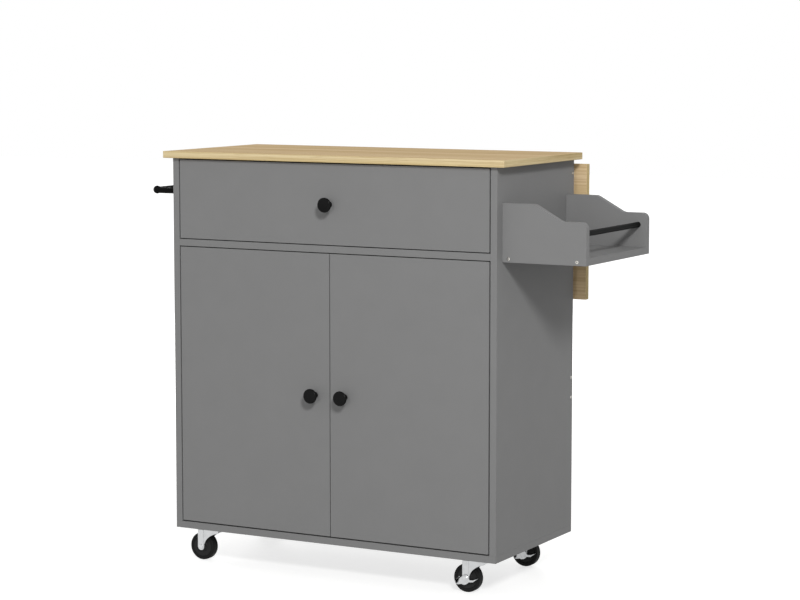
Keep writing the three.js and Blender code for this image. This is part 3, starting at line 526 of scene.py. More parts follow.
class Draft:
    """The visible mesh of one solid in the making. Each form in it is closed and has a finish."""

    def __init__(self, node: str) -> None:
        """Starts with an empty mesh.

        Args:
            node: the solid that the mesh will stand for.
        """
        self.node = node
        self.mesh = bmesh.new()
        self.finishes: list[Finish] = []

    def index(self, finish: Finish) -> int:
        """A finish's material number here. A new finish gets the next one."""
        if finish not in self.finishes:
            self.finishes.append(finish)
        return self.finishes.index(finish)

    def _close(
        self,
        faces: list[bmesh.types.BMFace],
        finish: Finish,
        rounding_mm: float = 0.0,
        steps: int = 2,
    ) -> None:
        """Finishes one form's faces, turns them outwards and rounds their outward edges.

        Args:
            faces: the faces.
            finish: their finish.
            rounding_mm: the rounding's reach from each edge, or 0.
            steps: faces across the rounding.
        """
        number = self.index(finish)
        for face in faces:
            face.material_index = number
        bmesh.ops.recalc_face_normals(self.mesh, faces=faces)
        if not rounding_mm:
            return
        corners = [
            edge
            for edge in parts_of(faces, "edges")
            if len(edge.link_faces) == 2
            and edge.is_convex
            and edge.calc_face_angle() > SMOOTH_UNDER
        ]
        bmesh.ops.bevel(
            self.mesh,
            geom=corners,
            offset=rounding_mm * MM,
            segments=steps,
            profile=0.5,
            affect="EDGES",
            clamp_overlap=True,
            material=-1,
        )

    def take(self, finish: Finish, rounding_mm: float, steps: int = 2) -> "Draft":
        """Starts the mesh with its solid's own shape, with flat faces made whole.

        Args:
            finish: the finish of all its faces.
            rounding_mm: the rounding's reach from each edge.
            steps: faces across the rounding.

        Returns:
            The draft itself.
        """
        mesh = self.mesh
        mesh.from_mesh(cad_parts[self.node].data)
        bmesh.ops.remove_doubles(mesh, verts=parts_of(mesh.faces, "verts"), dist=WELD_MM * MM)
        bmesh.ops.dissolve_limit(
            mesh,
            angle_limit=FLAT_WITHIN,
            verts=parts_of(mesh.faces, "verts"),
            edges=parts_of(mesh.faces, "edges"),
        )
        self._close(list(mesh.faces), finish, rounding_mm, steps)
        return self

    def _ring(
        self, place: Matrix, polar: Iterable[Pair], height: float
    ) -> list[bmesh.types.BMVert]:
        """Adds a ring of vertices round an axis.

        Args:
            place: the axis's placement.
            polar: pairs of an angle and a radius in millimetres.
            height: the ring's height along the axis, in millimetres.

        Returns:
            The vertices.
        """
        spots = [(r * math.cos(a), r * math.sin(a), height) for a, r in polar]
        return [self.mesh.verts.new(place @ (Vector(spot) * MM)) for spot in spots]

    def _skin(self, pairs: Iterable[tuple[list, list]]) -> list[bmesh.types.BMFace]:
        """Joins pairs of vertex rings with faces.

        Args:
            pairs: a ring and the next one. Either may be a single point.

        Returns:
            The new faces.
        """
        faces = []
        for lower, upper in pairs:
            count = max(len(lower), len(upper))
            for step in range(count):
                after = (step + 1) % count
                corners = [lower[step % len(lower)], lower[after % len(lower)]]
                corners += [upper[after % len(upper)], upper[step % len(upper)]]
                faces.append(self.mesh.faces.new(list(dict.fromkeys(corners))))
        return faces

    def turned(
        self,
        finish: Finish,
        profile: Sequence[Pair],
        at: Vector,
        direction: Vector,
        sides: int = 48,
        ring: bool = False,
    ) -> None:
        """Adds a turned form.

        Args:
            finish: its finish.
            profile: radii and heights in millimetres, from its foot outwards and up.
            at: the foot of its axis.
            direction: the way that its heights run.
            sides: facets round it.
            ring: whether the profile closes on itself, with a bore through it.
        """
        place = standing(at, direction)
        turns = [2 * math.pi * step / sides for step in range(sides)]
        rings = []
        for radius, height in profile:
            polar = [(turn, radius) for turn in (turns if radius else [0.0])]
            rings.append(self._ring(place, polar, height))
        pairs = list(zip(rings, rings[1:]))
        if ring:
            pairs.append((rings[-1], rings[0]))
        self._close(self._skin(pairs), finish)

    def plate(
        self,
        finish: Finish,
        outline: Sequence[Pair],
        axis: Axis,
        span: Pair,
        rounding_mm: float,
        steps: int = 2,
    ) -> None:
        """Adds an outline extruded along an axis.

        Args:
            finish: its finish.
            outline: its corners in the two other axes, in metres.
            axis: the axis that it runs along.
            span: its two ends on that axis, in metres.
            rounding_mm: the rounding's reach from each edge.
            steps: faces across the rounding.
        """
        ends = [[self.mesh.verts.new(axis.point(end, u, v)) for u, v in outline] for end in span]
        faces = self._skin([(ends[0], ends[1])])
        faces += [self.mesh.faces.new(end) for end in ends]
        self._close(faces, finish, rounding_mm, steps)

    def screw(
        self,
        at: Vector,
        direction: Vector,
        drive: Drive,
        radius_mm: float,
        proud_mm: float = 0.35,
    ) -> None:
        """Adds a screw's head, just proud of the face that it holds, with its recess, whose bottom
        is painted dark as shade, and a thin ring of painted shade round the head.

        Args:
            at: the middle of the head, on that face.
            direction: the way that the head looks.
            drive: the recess's form.
            radius_mm: the head's radius.
            proud_mm: how far the head stands out of the face.
        """
        depth, seat = 1.0, 1.5  # how far the recess and the head reach below the face
        rim, lift = 1.12 * radius_mm, 0.03  # the ring of painted shade round the head: its radius and height
        socket = 0.52 * radius_mm
        place = standing(at, direction)
        shape = drive.ring()
        head = [
            (0.6 * radius_mm, -seat),
            (radius_mm, -seat),
            (radius_mm, 0.4 * proud_mm),
            (0.9 * radius_mm, proud_mm),
        ]
        rings = [self._ring(place, [(a, radius) for a, _ in shape], z) for radius, z in head]
        recess = [(a, socket * r) for a, r in shape]
        rings += [self._ring(place, recess, height) for height in (proud_mm, -depth)]
        faces = self._skin(zip(rings, rings[1:]))
        faces.append(self.mesh.faces.new(rings[0]))
        floor = self.mesh.faces.new(rings[-1])
        self._close([*faces, floor], NICKEL)
        # the recess's bottom takes the painted shade
        floor.material_index = self.index(PAINTED_RECESS_SHADE)
        # a thin dark ring round the head: painted shade for the gap between head and hole
        painted_shade_ring = [(radius_mm, -seat), (rim, -seat), (rim, lift), (radius_mm, lift)]
        self.turned(PAINTED_RECESS_SHADE, painted_shade_ring, at, direction, sides=24, ring=True)

    def paint(self, finish: Finish, where: Callable[[Vector, Vector], bool]) -> None:
        """Gives some of the faces another finish.

        Args:
            finish: that finish.
            where: takes a face's middle and its normal, and says whether it changes.
        """
        number = self.index(finish)
        self.mesh.normal_update()
        for face in self.mesh.faces:
            if where(face.calc_center_median(), face.normal):
                face.material_index = number

    def piece(self, ending: str, body: str, slot: str) -> None:
        """Makes the draft a visible piece, in its solid's place.

        Args:
            ending: what the piece's name adds to the solid's.
            body: the body that it moves with.
            slot: the material slot, not used.
        """
        name = f"{self.node}_{ending}"
        mesh = bpy.data.meshes.new(name)
        self.mesh.to_mesh(mesh)
        self.mesh.free()
        for finish in self.finishes:
            mesh.materials.append(finish.material())
        mesh.polygons.foreach_set("use_smooth", [True] * len(mesh.polygons))
        mesh.set_sharp_from_angle(angle=SMOOTH_UNDER)
        thing = bpy.data.objects.new(name, mesh)
        bpy.context.scene.collection.objects.link(thing)
        shading = thing.modifiers.new("even_shading", "WEIGHTED_NORMAL")
        shading.keep_sharp = True
        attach(thing, body)
        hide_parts(self.node)
        log.info("%s rides on %s, %d faces", name, body, len(mesh.polygons))


def low(node: str) -> Vector:
    """The lowest corner of a solid, in metres."""
    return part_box(node)[0]


def high(node: str) -> Vector:
    """The highest corner of a solid, in metres."""
    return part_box(node)[1]


def centre(node: str) -> Vector:
    """The middle of a solid's box, in metres."""
    return (low(node) + high(node)) / 2


def outer(node: str, side: Side | End) -> float:
    """Where a solid ends towards a side or an end of the cabinet.

    Args:
        node: the solid.
        side: the side or the end.

    Returns:
        The place, in metres along X for a side and along Y for an end.
    """
    corner = high(node) if side.sign > 0 else low(node)
    return corner.x if isinstance(side, Side) else corner.y


def arc(middle: Pair, radius: float, span: Pair, steps: int) -> list[Pair]:
    """Points on an arc.

    Args:
        middle: its centre.
        radius: its radius, in the same unit.
        span: its first and last angles, in degrees.
        steps: how many stretches it is divided in.

    Returns:
        The points.
    """
    first, last = (math.radians(angle) for angle in span)
    angles = [first + (last - first) * step / steps for step in range(steps + 1)]
    return [(middle[0] + radius * math.cos(a), middle[1] + radius * math.sin(a)) for a in angles]


def dress_board(node: str, body: str, finish: Finish, slot: str, rounding_mm: float) -> None:
    """Dresses a plain board with its edges eased.

    Args:
        node: the board's solid.
        body: the body that it rides on.
        finish: its finish.
        slot: its material slot.
        rounding_mm: the rounding of its edges.
    """
    draft = Draft(node).take(finish, rounding_mm)
    draft.piece("board", body, slot)


def dress_tube(node: str, radius_mm: float) -> None:
    """Dresses a round bar that runs from front to back.

    Args:
        node: the bar's solid.
        radius_mm: its radius.
    """
    middle, start = centre(node), low(node).y
    length = (high(node).y - start) / MM
    profile = [(0.0, 0.0), (radius_mm, 0.0), (radius_mm, length), (0.0, length)]
    draft = Draft(node)
    draft.turned(POWDER, profile, Vector((middle.x, start, middle.z)), BACK)
    draft.piece("tube", "cabinet", "black_tube")


# ---------------------------------------------------------------------------- sub-assemblies


@dataclass
class Carcass:
    """The cabinet's fixed boards, with the screws that hold them and the shelf's pins."""

    edge_mm: float = 0.4
    panel_edge_mm: float = 0.3
    pin_mm: float = 8.0  # how far a pin stands out of its side panel
    pin_start_mm: float = 0.2  # faces further out than this belong to a pin
    screw_mm: float = 3.4  # head's radius
    screw_from_back_mm: float = 7.5
    screw_rises_mm: tuple[float, ...] = (303.5, 347.5, 681.0, 799.5)  # above the underside

    def side_panel(self, side: Side) -> None:
        """Dresses a side panel, its shelf pins and its four screws."""
        node = f"{side.value}_side_panel"
        draft = Draft(node).take(GREY, self.edge_mm)
        pins_end = (high(node) if side is Side.LEFT else low(node)).x
        face = pins_end - side.inward.x * self.pin_mm * MM
        draft.paint(NICKEL, lambda at, _: side.inward.x * (at.x - face) > self.pin_start_mm * MM)
        y = high(node).y - self.screw_from_back_mm * MM
        for rise in self.screw_rises_mm:
            at = Vector((outer(node, side), y, low("bottom_board").z + rise * MM))
            draft.screw(at, -side.inward, Drive.HEX, self.screw_mm)
        draft.piece("board", "cabinet", "grey_board")

    def build(self) -> None:
        """Dresses every fixed board."""
        for side in Side:
            self.side_panel(side)
        backs = ("upper_back_board", "mid_back_rail")
        for node in ("bottom_board", "divider_board", *backs, "inner_shelf"):
            dress_board(node, "cabinet", GREY, "grey_board", self.edge_mm)
        for node in ("back_panel_lower", "back_panel_upper"):
            dress_board(node, "cabinet", WHITE, "white_panel", self.panel_edge_mm)


@dataclass
class OakTop:
    """The worktop and the drop leaf: oak-printed faces with bands on the edges."""

    edge_mm: float = 0.9
    steps: int = 3
    face_from: float = 0.8  # a normal's least share along its axis on a large face
    end_from: float = 0.6  # and on an end, whose rounding belongs to its band

    def board(self, node: str, body: str, face_axis: Axis, end_axis: Axis) -> None:
        """Dresses one board.

        Args:
            node: its solid.
            body: the body that it rides on.
            face_axis: the axis that its large faces look along.
            end_axis: the axis that the bands on its two ends run along.
        """
        draft = Draft(node).take(OAK_FACE, self.edge_mm, self.steps)
        draft.paint(OakEdgeBand(), lambda _, way: abs(way[face_axis.value]) < self.face_from)
        draft.paint(OakEdgeBand(along=end_axis), lambda _, way: abs(way.x) > self.end_from)
        draft.piece("board", body, "oak_board")

    def build(self) -> None:
        """Dresses both boards."""
        self.board("worktop", "cabinet", Axis.Z, Axis.Y)
        self.board("drop_leaf", "leaf", Axis.Y, Axis.Z)


@dataclass
class Knob:
    """A turned, lacquered knob: a foot, a slim neck and a flat head with a rounded rim."""

    radius_mm: float = 16.0
    foot_mm: float = 7.0
    neck_mm: float = 5.5
    reach_mm: float = 25.0
    head_mm: float = 8.0
    rim_mm: float = 2.2
    dish_mm: float = 0.5
    waist_mm: float = 2.5  # the hollow between foot and neck
    flare_mm: float = 3.5  # the hollow between neck and head
    sides: int = 72

    def profile(self) -> list[Pair]:
        """The knob's section: radii and heights from the foot to the middle of the head."""
        under, dish = self.reach_mm - self.head_mm, self.reach_mm - self.dish_mm
        rim, flare = self.radius_mm - self.rim_mm, self.flare_mm
        return [
            (0.0, 0.0),
            (self.foot_mm, 0.0),
            *arc((self.foot_mm - 1, 1), 1, (0, 90), 4),
            *arc((self.neck_mm + self.waist_mm, 5), self.waist_mm, (215, 180), 5),
            *arc((self.neck_mm + flare, under - flare), flare, (180, 100), 6),
            *arc((rim, under + 3.6), self.rim_mm, (-78, 0), 6),
            *arc((rim, self.reach_mm - self.rim_mm), self.rim_mm, (0, 90), 8),
            (0.72 * rim, self.reach_mm - 0.15),
            (0.4 * rim, dish),
            (0.0, dish),
        ]

    def build(self, node: str, body: str) -> None:
        """Dresses one knob.

        Args:
            node: its solid.
            body: the front that it is on.
        """
        middle = centre(node)
        foot = Vector((middle.x, high(node).y, middle.z))
        draft = Draft(node)
        draft.turned(LACQUER, self.profile(), foot, FRONT, self.sides)
        draft.piece("turned", body, "black_plastic")


@dataclass
class Drawer:
    """The drawer: a grey front on a white box, on roller runners."""

    knob: Knob = field(default_factory=Knob)
    edge_mm: float = 0.4
    box_edge_mm: float = 0.5
    steel_edge_mm: float = 0.35
    screw_mm: float = 2.8
    screw_proud_mm: float = 0.2  # the roller passes 0.3 mm above the channel's web
    screw_places_mm: tuple[float, ...] = (40.0, 160.0, 290.0)  # from the runner's front end
    screw_drop_mm: float = 2.0  # below the middle of the drawer's member
    web_mm: float = 1.5  # the channel's steel
    channel_roller_mm: Pair = (1.8, 26.0)  # it is further from the wall, nearer to the front
    rail_roller_mm: Pair = (9.2, 28.0)  # it is nearer to the rail's outside and to its rear
    flange_mm: float = 3.0  # it is also further below the rail's top, where the flange is

    def drawer_runner(self, side: Side) -> None:
        """Dresses the drawer's member: white steel with a nylon roller at its rear."""
        node = f"{side.value}_drawer_runner"
        depth, reach = self.rail_roller_mm
        web = outer(node, side) - side.sign * depth * MM
        start, top = high(node).y - reach * MM, high(node).z - self.flange_mm * MM
        draft = Draft(node).take(EPOXY, self.steel_edge_mm)
        draft.paint(
            ROLLER, lambda at, _: side.sign * (at.x - web) > 0 and at.y > start and at.z < top
        )
        draft.piece("rail", "drawer", "white_steel")

    def cabinet_runner(self, side: Side) -> None:
        """Dresses the cabinet's member: a white channel, its roller and its screws."""
        node = f"{side.value}_cabinet_runner"
        depth, reach = self.channel_roller_mm
        wall, front = outer(node, side), low(node).y
        draft = Draft(node).take(EPOXY, self.steel_edge_mm)
        draft.paint(
            ROLLER, lambda at, _: abs(at.x - wall) > depth * MM and at.y < front + reach * MM
        )
        z = centre(f"{side.value}_drawer_runner").z - self.screw_drop_mm * MM
        for place in self.screw_places_mm:
            at = Vector((wall + side.inward.x * self.web_mm * MM, front + place * MM, z))
            draft.screw(at, side.inward, Drive.CROSS, self.screw_mm, self.screw_proud_mm)
        draft.piece("channel", "cabinet", "white_steel")

    def build(self) -> None:
        """Dresses the drawer and its runners."""
        dress_board("drawer_front", "drawer", GREY, "grey_board", self.edge_mm)
        self.knob.build("drawer_knob", "drawer")
        for node in ("drawer_left_side", "drawer_right_side", "drawer_back", "drawer_bottom"):
            dress_board(node, "drawer", WHITE, "white_panel", self.box_edge_mm)
        for side in Side:
            self.drawer_runner(side)
            self.cabinet_runner(side)


@dataclass
class Doors:
    """The two doors, their knobs and their concealed cup hinges."""

    knob: Knob = field(default_factory=Knob)
    edge_mm: float = 0.4
    metal_edge_mm: float = 0.5
    wing_screw_mm: float = 24.0  # from the cup's middle, up and down
    plate_screw_mm: float = 16.0  # from the plate's middle, up and down
    screw_mm: float = 3.2
    adjuster_mm: float = 2.6
    plate_mm: float = 3.0  # the plate's face from the side panel
    arm_mm: float = 15.7  # the arm's face from the side panel
    plate_from_front_mm: float = 44.0
    adjusters_from_front_mm: Pair = (37.0, 59.0)

    def cup(self, side: Side, level: Level) -> None:
        """Dresses a hinge's cup and the two screws of its wings."""
        node = f"{side.value}_{level.value}_hinge_cup"
        middle = centre(node)
        draft = Draft(node).take(NICKEL, self.metal_edge_mm)
        for way in (1, -1):
            at = Vector((middle.x, high(node).y, middle.z + way * self.wing_screw_mm * MM))
            draft.screw(at, BACK, Drive.CROSS, self.screw_mm)
        draft.piece("pressed", f"{side.value}_door", "nickel")

    def arm(self, side: Side, level: Level) -> None:
        """Dresses a hinge's arm, its plate's screws and its two adjusting screws."""
        node = f"{side.value}_{level.value}_hinge_arm"
        wall, middle = outer(node, side), centre(node)
        front = low("left_side_panel").y
        draft = Draft(node).take(NICKEL, self.metal_edge_mm)
        x, y = wall + side.inward.x * self.plate_mm * MM, front + self.plate_from_front_mm * MM
        for way in (1, -1):
            at = Vector((x, y, middle.z + way * self.plate_screw_mm * MM))
            draft.screw(at, side.inward, Drive.CROSS, self.screw_mm)
        for place in self.adjusters_from_front_mm:
            at = Vector((wall + side.inward.x * self.arm_mm * MM, front + place * MM, middle.z))
            draft.screw(at, side.inward, Drive.CROSS, self.adjuster_mm)
        draft.piece("pressed", "cabinet", "nickel")

    def build(self) -> None:
        """Dresses both doors."""
        for side in Side:
            door = f"{side.value}_door"
            dress_board(door, door, GREY, "grey_board", self.edge_mm)
            self.knob.build(f"{door}_knob", door)
            for level in Level:
                self.cup(side, level)
                self.arm(side, level)


@dataclass
class SpiceRack:
    """The rack on the right side: shaped ends, a bottom board and a black rail."""

    edge_mm: float = 0.4
    screw_mm: float = 3.4
    screw_places_mm: Pair = (14.0, 169.0)  # from the cabinet's side
    screw_rise_mm: float = 7.5
    rail_mm: float = 6.0  # radius
    low_mm: float = 88.5  # height of the ends' outer part
    shoulder_mm: Pair = (66.0, 140.0)  # the slope's start and end from the cabinet
    shoulder_radius_mm: float = 22.0
    corner_mm: float = 13.0
    curve_steps: int = 10

    def outline(self, node: str) -> list[Pair]:
        """An end board's outline: a tall part, a slope between two arcs, and a round low corner.

        Args:
            node: the board's solid.

        Returns:
            The corners in X and Z, in metres.
        """
        start, end = (low(node).x + reach * MM for reach in self.shoulder_mm)
        step_top, step_low = high(node).z, low(node).z + self.low_mm * MM
        run, fall = end - start, step_top - step_low
        radius, corner, steps = self.shoulder_radius_mm * MM, self.corner_mm * MM, self.curve_steps
        rise = 2 * radius - fall
        sweep = math.asin(2 * radius / math.hypot(run, rise)) - math.atan2(rise, run)
        sweep = math.degrees(sweep)
        edge = high(node).x
        return [
            (low(node).x, low(node).z),
            (edge, low(node).z),
            *arc((edge - corner, step_low - corner), corner, (0, 90), steps),
            *arc((end, step_low + radius), radius, (-90, -90 - sweep), steps),
            *arc((start, step_top - radius), radius, (90 - sweep, 90), steps)[1:],
            (low(node).x, step_top),
        ]

    def end_board(self, end: End) -> None:
        """Dresses an end board and its two screws."""
        node = f"rack_{end.value}_end"
        draft = Draft(node)
        span = (low(node).y, high(node).y)
        draft.plate(GREY, self.outline(node), Axis.Y, span, self.edge_mm)
        for place in self.screw_places_mm:
            x, z = low(node).x + place * MM, low(node).z + self.screw_rise_mm * MM
            draft.screw(Vector((x, outer(node, end), z)), end.outward, Drive.HEX, self.screw_mm)
        draft.piece("board", "cabinet", "grey_board")

    def build(self) -> None:
        """Dresses the rack."""
        for end in End:
            self.end_board(end)
        dress_board("rack_bottom", "cabinet", GREY, "grey_board", self.edge_mm)
        dress_tube("rack_rail", self.rail_mm)


@dataclass
class TowelBar:
    """The towel bar on the left side: two posts with ball ends and a bar between them."""

    stem_mm: float = 6.5  # radius
    stem_drop_mm: float = 1.25  # below the middle of the post's height
    ball_mm: float = 9.0  # radius
    collar_mm: float = 8.5
    collar_height_mm: float = 2.0
    rounding_mm: float = 0.7
    ball_steps: int = 24

    def post(self, end: End) -> None:
        """Dresses a post: a stem with a collar, and the ball at the bar's end."""
        node = f"towel_{end.value}_post"
        foot, bar = high(node), centre("towel_bar")
        stem_z = foot.z - (foot.z - low(node).z) / 2 - self.stem_drop_mm * MM
        stem_z = max(stem_z, low(node).z + self.stem_mm * MM)
        ball = Vector((bar.x, outer(node, end) - end.sign * self.ball_mm * MM, bar.z))
        length, top, soft = (foot.x - ball.x) / MM, self.collar_height_mm, self.rounding_mm
        collar = arc((self.collar_mm - soft, top - soft), soft, (0, 90), 4)
        stem = [(0.0, 0.0), (self.collar_mm, 0.0), *collar]
        stem += [(self.stem_mm, top), (self.stem_mm, length), (0.0, length)]
        sphere = arc((0.0, 0.0), self.ball_mm, (-90, 90), self.ball_steps)[1:-1]
        sphere = [(0.0, -self.ball_mm), *sphere, (0.0, self.ball_mm)]
        draft = Draft(node)
        draft.turned(POWDER, stem, Vector((foot.x, ball.y, stem_z)), LEFT)
        draft.turned(POWDER, sphere, ball, UP)
        draft.piece("turned", "cabinet", "black_tube")

    def build(self) -> None:
        """Dresses the posts and the bar."""
        for end in End:
            self.post(end)
        dress_tube("towel_bar", self.stem_mm)


@dataclass
class LeafBrackets:
    """The two folding brackets of the leaf: wall plate, arm and strut, riveted together."""

    edge_mm: float = 0.35
    rivet_mm: float = 3.4
    rivet_head_mm: float = 1.2
    rivet_gap_mm: float = 0.02
    screw_mm: float = 3.2
    plate_screws_mm: Pair = (18.0, 70.0)  # below the hinge's axis
    plate_screw_side_mm: float = 15.5
    plate_mm: float = 2.0  # the plate's steel
    arm_screws_mm: tuple[float, ...] = (60.0, 120.0, 235.0)  # below the hinge's axis
    arm_mm: float = 1.5  # the arm's steel
    pivot_mm: Pair = (6.5, 9.0)  # the axis behind the plate's front and below its top

    def rivet(self, draft: Draft, at: Vector, direction: Vector) -> None:
        """Adds a rivet's domed head.

        Args:
            draft: the draft that it is added to.
            at: its foot's middle.
            direction: the way that it looks.
        """
        dome = arc((0.0, 0.0), 1.0, (0, 90), 6)[:-1]
        profile = [(self.rivet_mm * u, self.rivet_head_mm * v) for u, v in dome]
        profile = [(0.0, 0.0), *profile, (0.0, self.rivet_head_mm)]
        draft.turned(ZINC, profile, at, direction, sides=24)

    def build_side(self, side: Side) -> None:
        """Dresses one bracket."""
        plate, arm, strut = (f"{side.value}_bracket_{n}" for n in ("wall_plate", "arm", "strut"))
        middle = centre(plate)
        behind, below_top = self.pivot_mm
        pivot_y, pivot_z = low(plate).y + behind * MM, high(plate).z - below_top * MM
        draft = Draft(plate).take(ZINC, self.edge_mm)
        y = low(plate).y + self.plate_mm * MM
        for below in self.plate_screws_mm:
            for way in (1, -1):
                x = middle.x + way * self.plate_screw_side_mm * MM
                at = Vector((x, y, pivot_z - below * MM))
                draft.screw(at, BACK, Drive.CROSS, self.screw_mm)
        draft.piece("pressed", "cabinet", "zinc")

        draft = Draft(arm).take(ZINC, self.edge_mm)
        for way, face in ((RIGHT, high(arm).x), (LEFT, low(arm).x)):
            at = Vector((face + self.rivet_gap_mm * MM * way.x, pivot_y, pivot_z))
            self.rivet(draft, at, way)
        for below in self.arm_screws_mm:
            at = Vector((middle.x, high(arm).y - self.arm_mm * MM, pivot_z - below * MM))
            draft.screw(at, FRONT, Drive.CROSS, self.screw_mm)
        draft.piece("pressed", "leaf", "zinc")

        draft = Draft(strut).take(ZINC, self.edge_mm)
        draft.piece("pressed", f"{side.value}_strut", "zinc")

    def build(self) -> None:
        """Dresses both brackets."""
        for side in Side:
            self.build_side(side)


@dataclass
class Caster:
    """A swivel caster: plate, riveted fork, wheel, and on the right a brake pedal.

    Bare numbers in the sections of small turned forms are places in them, in millimetres.
    """

    end: End
    side: Side
    trail_mm: float = 22.5
    axle_mm: float = 31.0  # the axle's height, and the wheel's radius
    half_width_mm: float = 10.5
    leg_mm: float = 16.5
    leg_relief_mm: float = 0.9
    leg_sink_mm: float = 0.4  # how deep the panel's hidden side lies in the leg
    panel_share: float = 0.44  # half of the panel's width, against the leg's
    panel_edge_mm: float = 0.8
    pedal_clear_mm: float = 9.6  # radius that the panel leaves free round the pedal's hub
    crown_mm: float = 70.0  # the crown's height
    fork_mm: float = 14.5  # half of the fork's width
    rivet_mm: float = 4.2
    steel_edge_mm: float = 0.45
    plate_mm: float = 2.5  # the plate's steel
    hub_mm: float = 12.0
    core_mm: float = 22.5  # where the core ends and the tread begins
    screw_mm: float = 3.6
    screw_spread_mm: Pair = (23.0, 17.0)
    hub_disc_mm: float = 7.6
    disc_bore_mm: float = 4.4
    pedal_edge_mm: float = 0.6
    pedal_sink_mm: float = 0.4  # how deep the disc and the stop stand in the rocker
    stop_mm: Pair = (4.2, -8.2)  # from the axle, along X and Z
    lip_mm: float = 3.2
    lip_edge_mm: float = 0.4
    toe_mm: tuple[Pair, ...] = (  # the lip's outline from the axle, in X and Z
        (-23.0, -7.0),
        (-19.2, -13.5),
        (-18.0, -12.9),
        (-21.7, -6.5),
        (-11.6, 4.1),
        (-12.9, 5.0),
    )

    @property
    def place(self) -> str:
        """The caster's part of its solids' names."""
        return f"{self.end.value}_{self.side.value}"

    @property
    def braked(self) -> bool:
        """Whether the caster has a brake pedal."""
        return self.side is Side.RIGHT

    @property
    def swivel(self) -> Vector:
        """The foot of the swivel's axis, on the floor."""
        middle = centre(f"{self.place}_caster_plate")
        return Vector((middle.x, middle.y, 0))

    @property
    def axle(self) -> Vector:
        """The middle of the wheel's axle."""
        return self.swivel + Vector((-self.trail_mm, 0, self.axle_mm)) * MM

    def plate(self) -> None:
        """Dresses the top plate, its ball race and its four screws."""
        node = f"{self.place}_caster_plate"
        draft = Draft(node).take(ZINC, self.steel_edge_mm)
        u, v = self.screw_spread_mm
        for way_x in (1, -1):
            for way_y in (1, -1):
                spread = Vector((way_x * u, way_y * v, 0)) * MM
                at = self.swivel + spread + Vector((0, 0, high(node).z - self.plate_mm * MM))
                draft.screw(at, DOWN, Drive.CROSS, self.screw_mm)
        draft.piece("pressed", "cabinet", "zinc")

    def leg_panel(self, draft: Draft, way: int) -> None:
        """Adds the raised panel pressed into one leg of the fork.

        Args:
            draft: the fork's draft.
            way: 1 for the rear leg and -1 for the front one.
        """
        x, z = self.axle.x, self.axle.z
        half, top = self.panel_share * self.leg_mm * MM, self.crown_mm * MM
        if self.braked and way < 0:
            foot = arc((x, z), self.pedal_clear_mm * MM, (130, 50), 8)
            level = foot[0][1]
            inside = [spot for spot in foot if abs(spot[0] - x) < half]
            foot = [(x - half, level), *inside, (x + half, level)]
        else:
            foot = arc((x, z), half, (180, 360), 12)
        outline = [*foot, (x + half, top), (x - half, top)]
        face = self.axle.y + way * self.fork_mm * MM
        span = (face - way * self.leg_sink_mm * MM, face + way * self.leg_relief_mm * MM)
        draft.plate(ZINC, outline, Axis.Y, span, self.panel_edge_mm, 3)

    def rivet(self, draft: Draft, way: int) -> None:
        """Adds the peened end of the axle.

        Args:
            draft: the draft that it is added to.
            way: 1 for the rear end and -1 for the front one.
        """
        out = self.fork_mm + self.leg_relief_mm
        seat = self.axle + Vector((0, way * (out - 1) * MM, 0))
        rim = arc((self.rivet_mm - 0.6, 1.5), 0.6, (0, 90), 4)
        profile = [(0.0, 0.0), (self.rivet_mm, 0.0), *rim, (0.45 * self.rivet_mm, 1.9), (0.0, 1.4)]
        draft.turned(ZINC, profile, seat, BACK * way, sides=32)

    def fork(self) -> None:
        """Dresses the fork, with the panels of its legs and the axle's ends."""
        draft = Draft(f"{self.place}_caster_fork").take(ZINC, self.steel_edge_mm)
        self.leg_panel(draft, 1)
        self.leg_panel(draft, -1)
        if not self.braked:
            self.rivet(draft, -1)
        self.rivet(draft, 1)
        draft.piece("pressed", f"{self.place}_fork", "zinc")

    def wheel(self) -> None:
        """Dresses the wheel: a nylon core with a raised hub and a tread with soft shoulders."""
        half, radius, hub, core = self.half_width_mm, self.axle_mm, self.hub_mm, self.core_mm
        core_side = [
            (4.3, half),
            (hub - 0.5, half),
            (hub, half - 0.5),
            *arc((hub + 1.6, half - 0.9), 1.6, (190, 262), 4),
            (core - 1.6, half - 2.4),
            (core - 0.5, half - 1.6),
            (core, half - 1.6),
        ]
        tread_side = [
            (core, half - 1.9),
            (core + 0.8, half - 0.8),
            (radius - 3.4, half - 0.75),
            *arc((radius - 3.2, half - 3.9), 3.2, (78, 18), 6),
            (radius, half - 5.2),
        ]
        draft = Draft(f"{self.place}_caster_wheel")
        for finish, outside in ((CORE, core_side), (TREAD, tread_side)):
            section = [*outside, *[(r, -h) for r, h in reversed(outside)]]
            draft.turned(finish, section, self.axle, BACK, sides=96, ring=True)
        draft.piece("moulded", f"{self.place}_wheel", "black_wheel")

    def pedal(self) -> None:
        """Dresses the brake pedal: its rocker, the axle's disc, a stop rivet and the toe's lip."""
        node = f"{self.place}_brake_pedal"
        face, axle, bore = low(node).y, self.axle, self.disc_bore_mm
        seat = face + self.pedal_sink_mm * MM
        draft = Draft(node).take(ZINC, self.pedal_edge_mm, 3)
        rim = arc((self.hub_disc_mm - 0.7, 0.7), 0.7, (0, 90), 4)
        disc = [(bore, 0.0), (self.hub_disc_mm, 0.0), *rim, (bore, 1.4)]
        draft.turned(ZINC, disc, Vector((axle.x, seat, axle.z)), FRONT, sides=40, ring=True)
        stop = Vector((axle.x + self.stop_mm[0] * MM, seat, axle.z + self.stop_mm[1] * MM))
        draft.turned(ZINC, [(0.0, 0.0), (1.7, 0.0), (1.5, 1.1), (0.0, 1.3)], stop, FRONT, sides=20)
        outline = [(axle.x + u * MM, axle.z + v * MM) for u, v in self.toe_mm]
        span = (face - self.lip_mm * MM, face + 0.3 * MM)
        draft.plate(ZINC, outline, Axis.Y, span, self.lip_edge_mm)
        draft.piece("pressed", f"{self.place}_pedal", "zinc")

    def build(self) -> None:
        """Dresses the whole caster."""
        self.plate()
        self.fork()
        self.wheel()
        if self.braked:
            self.pedal()


# ---------------------------------------------------------------------------- stage


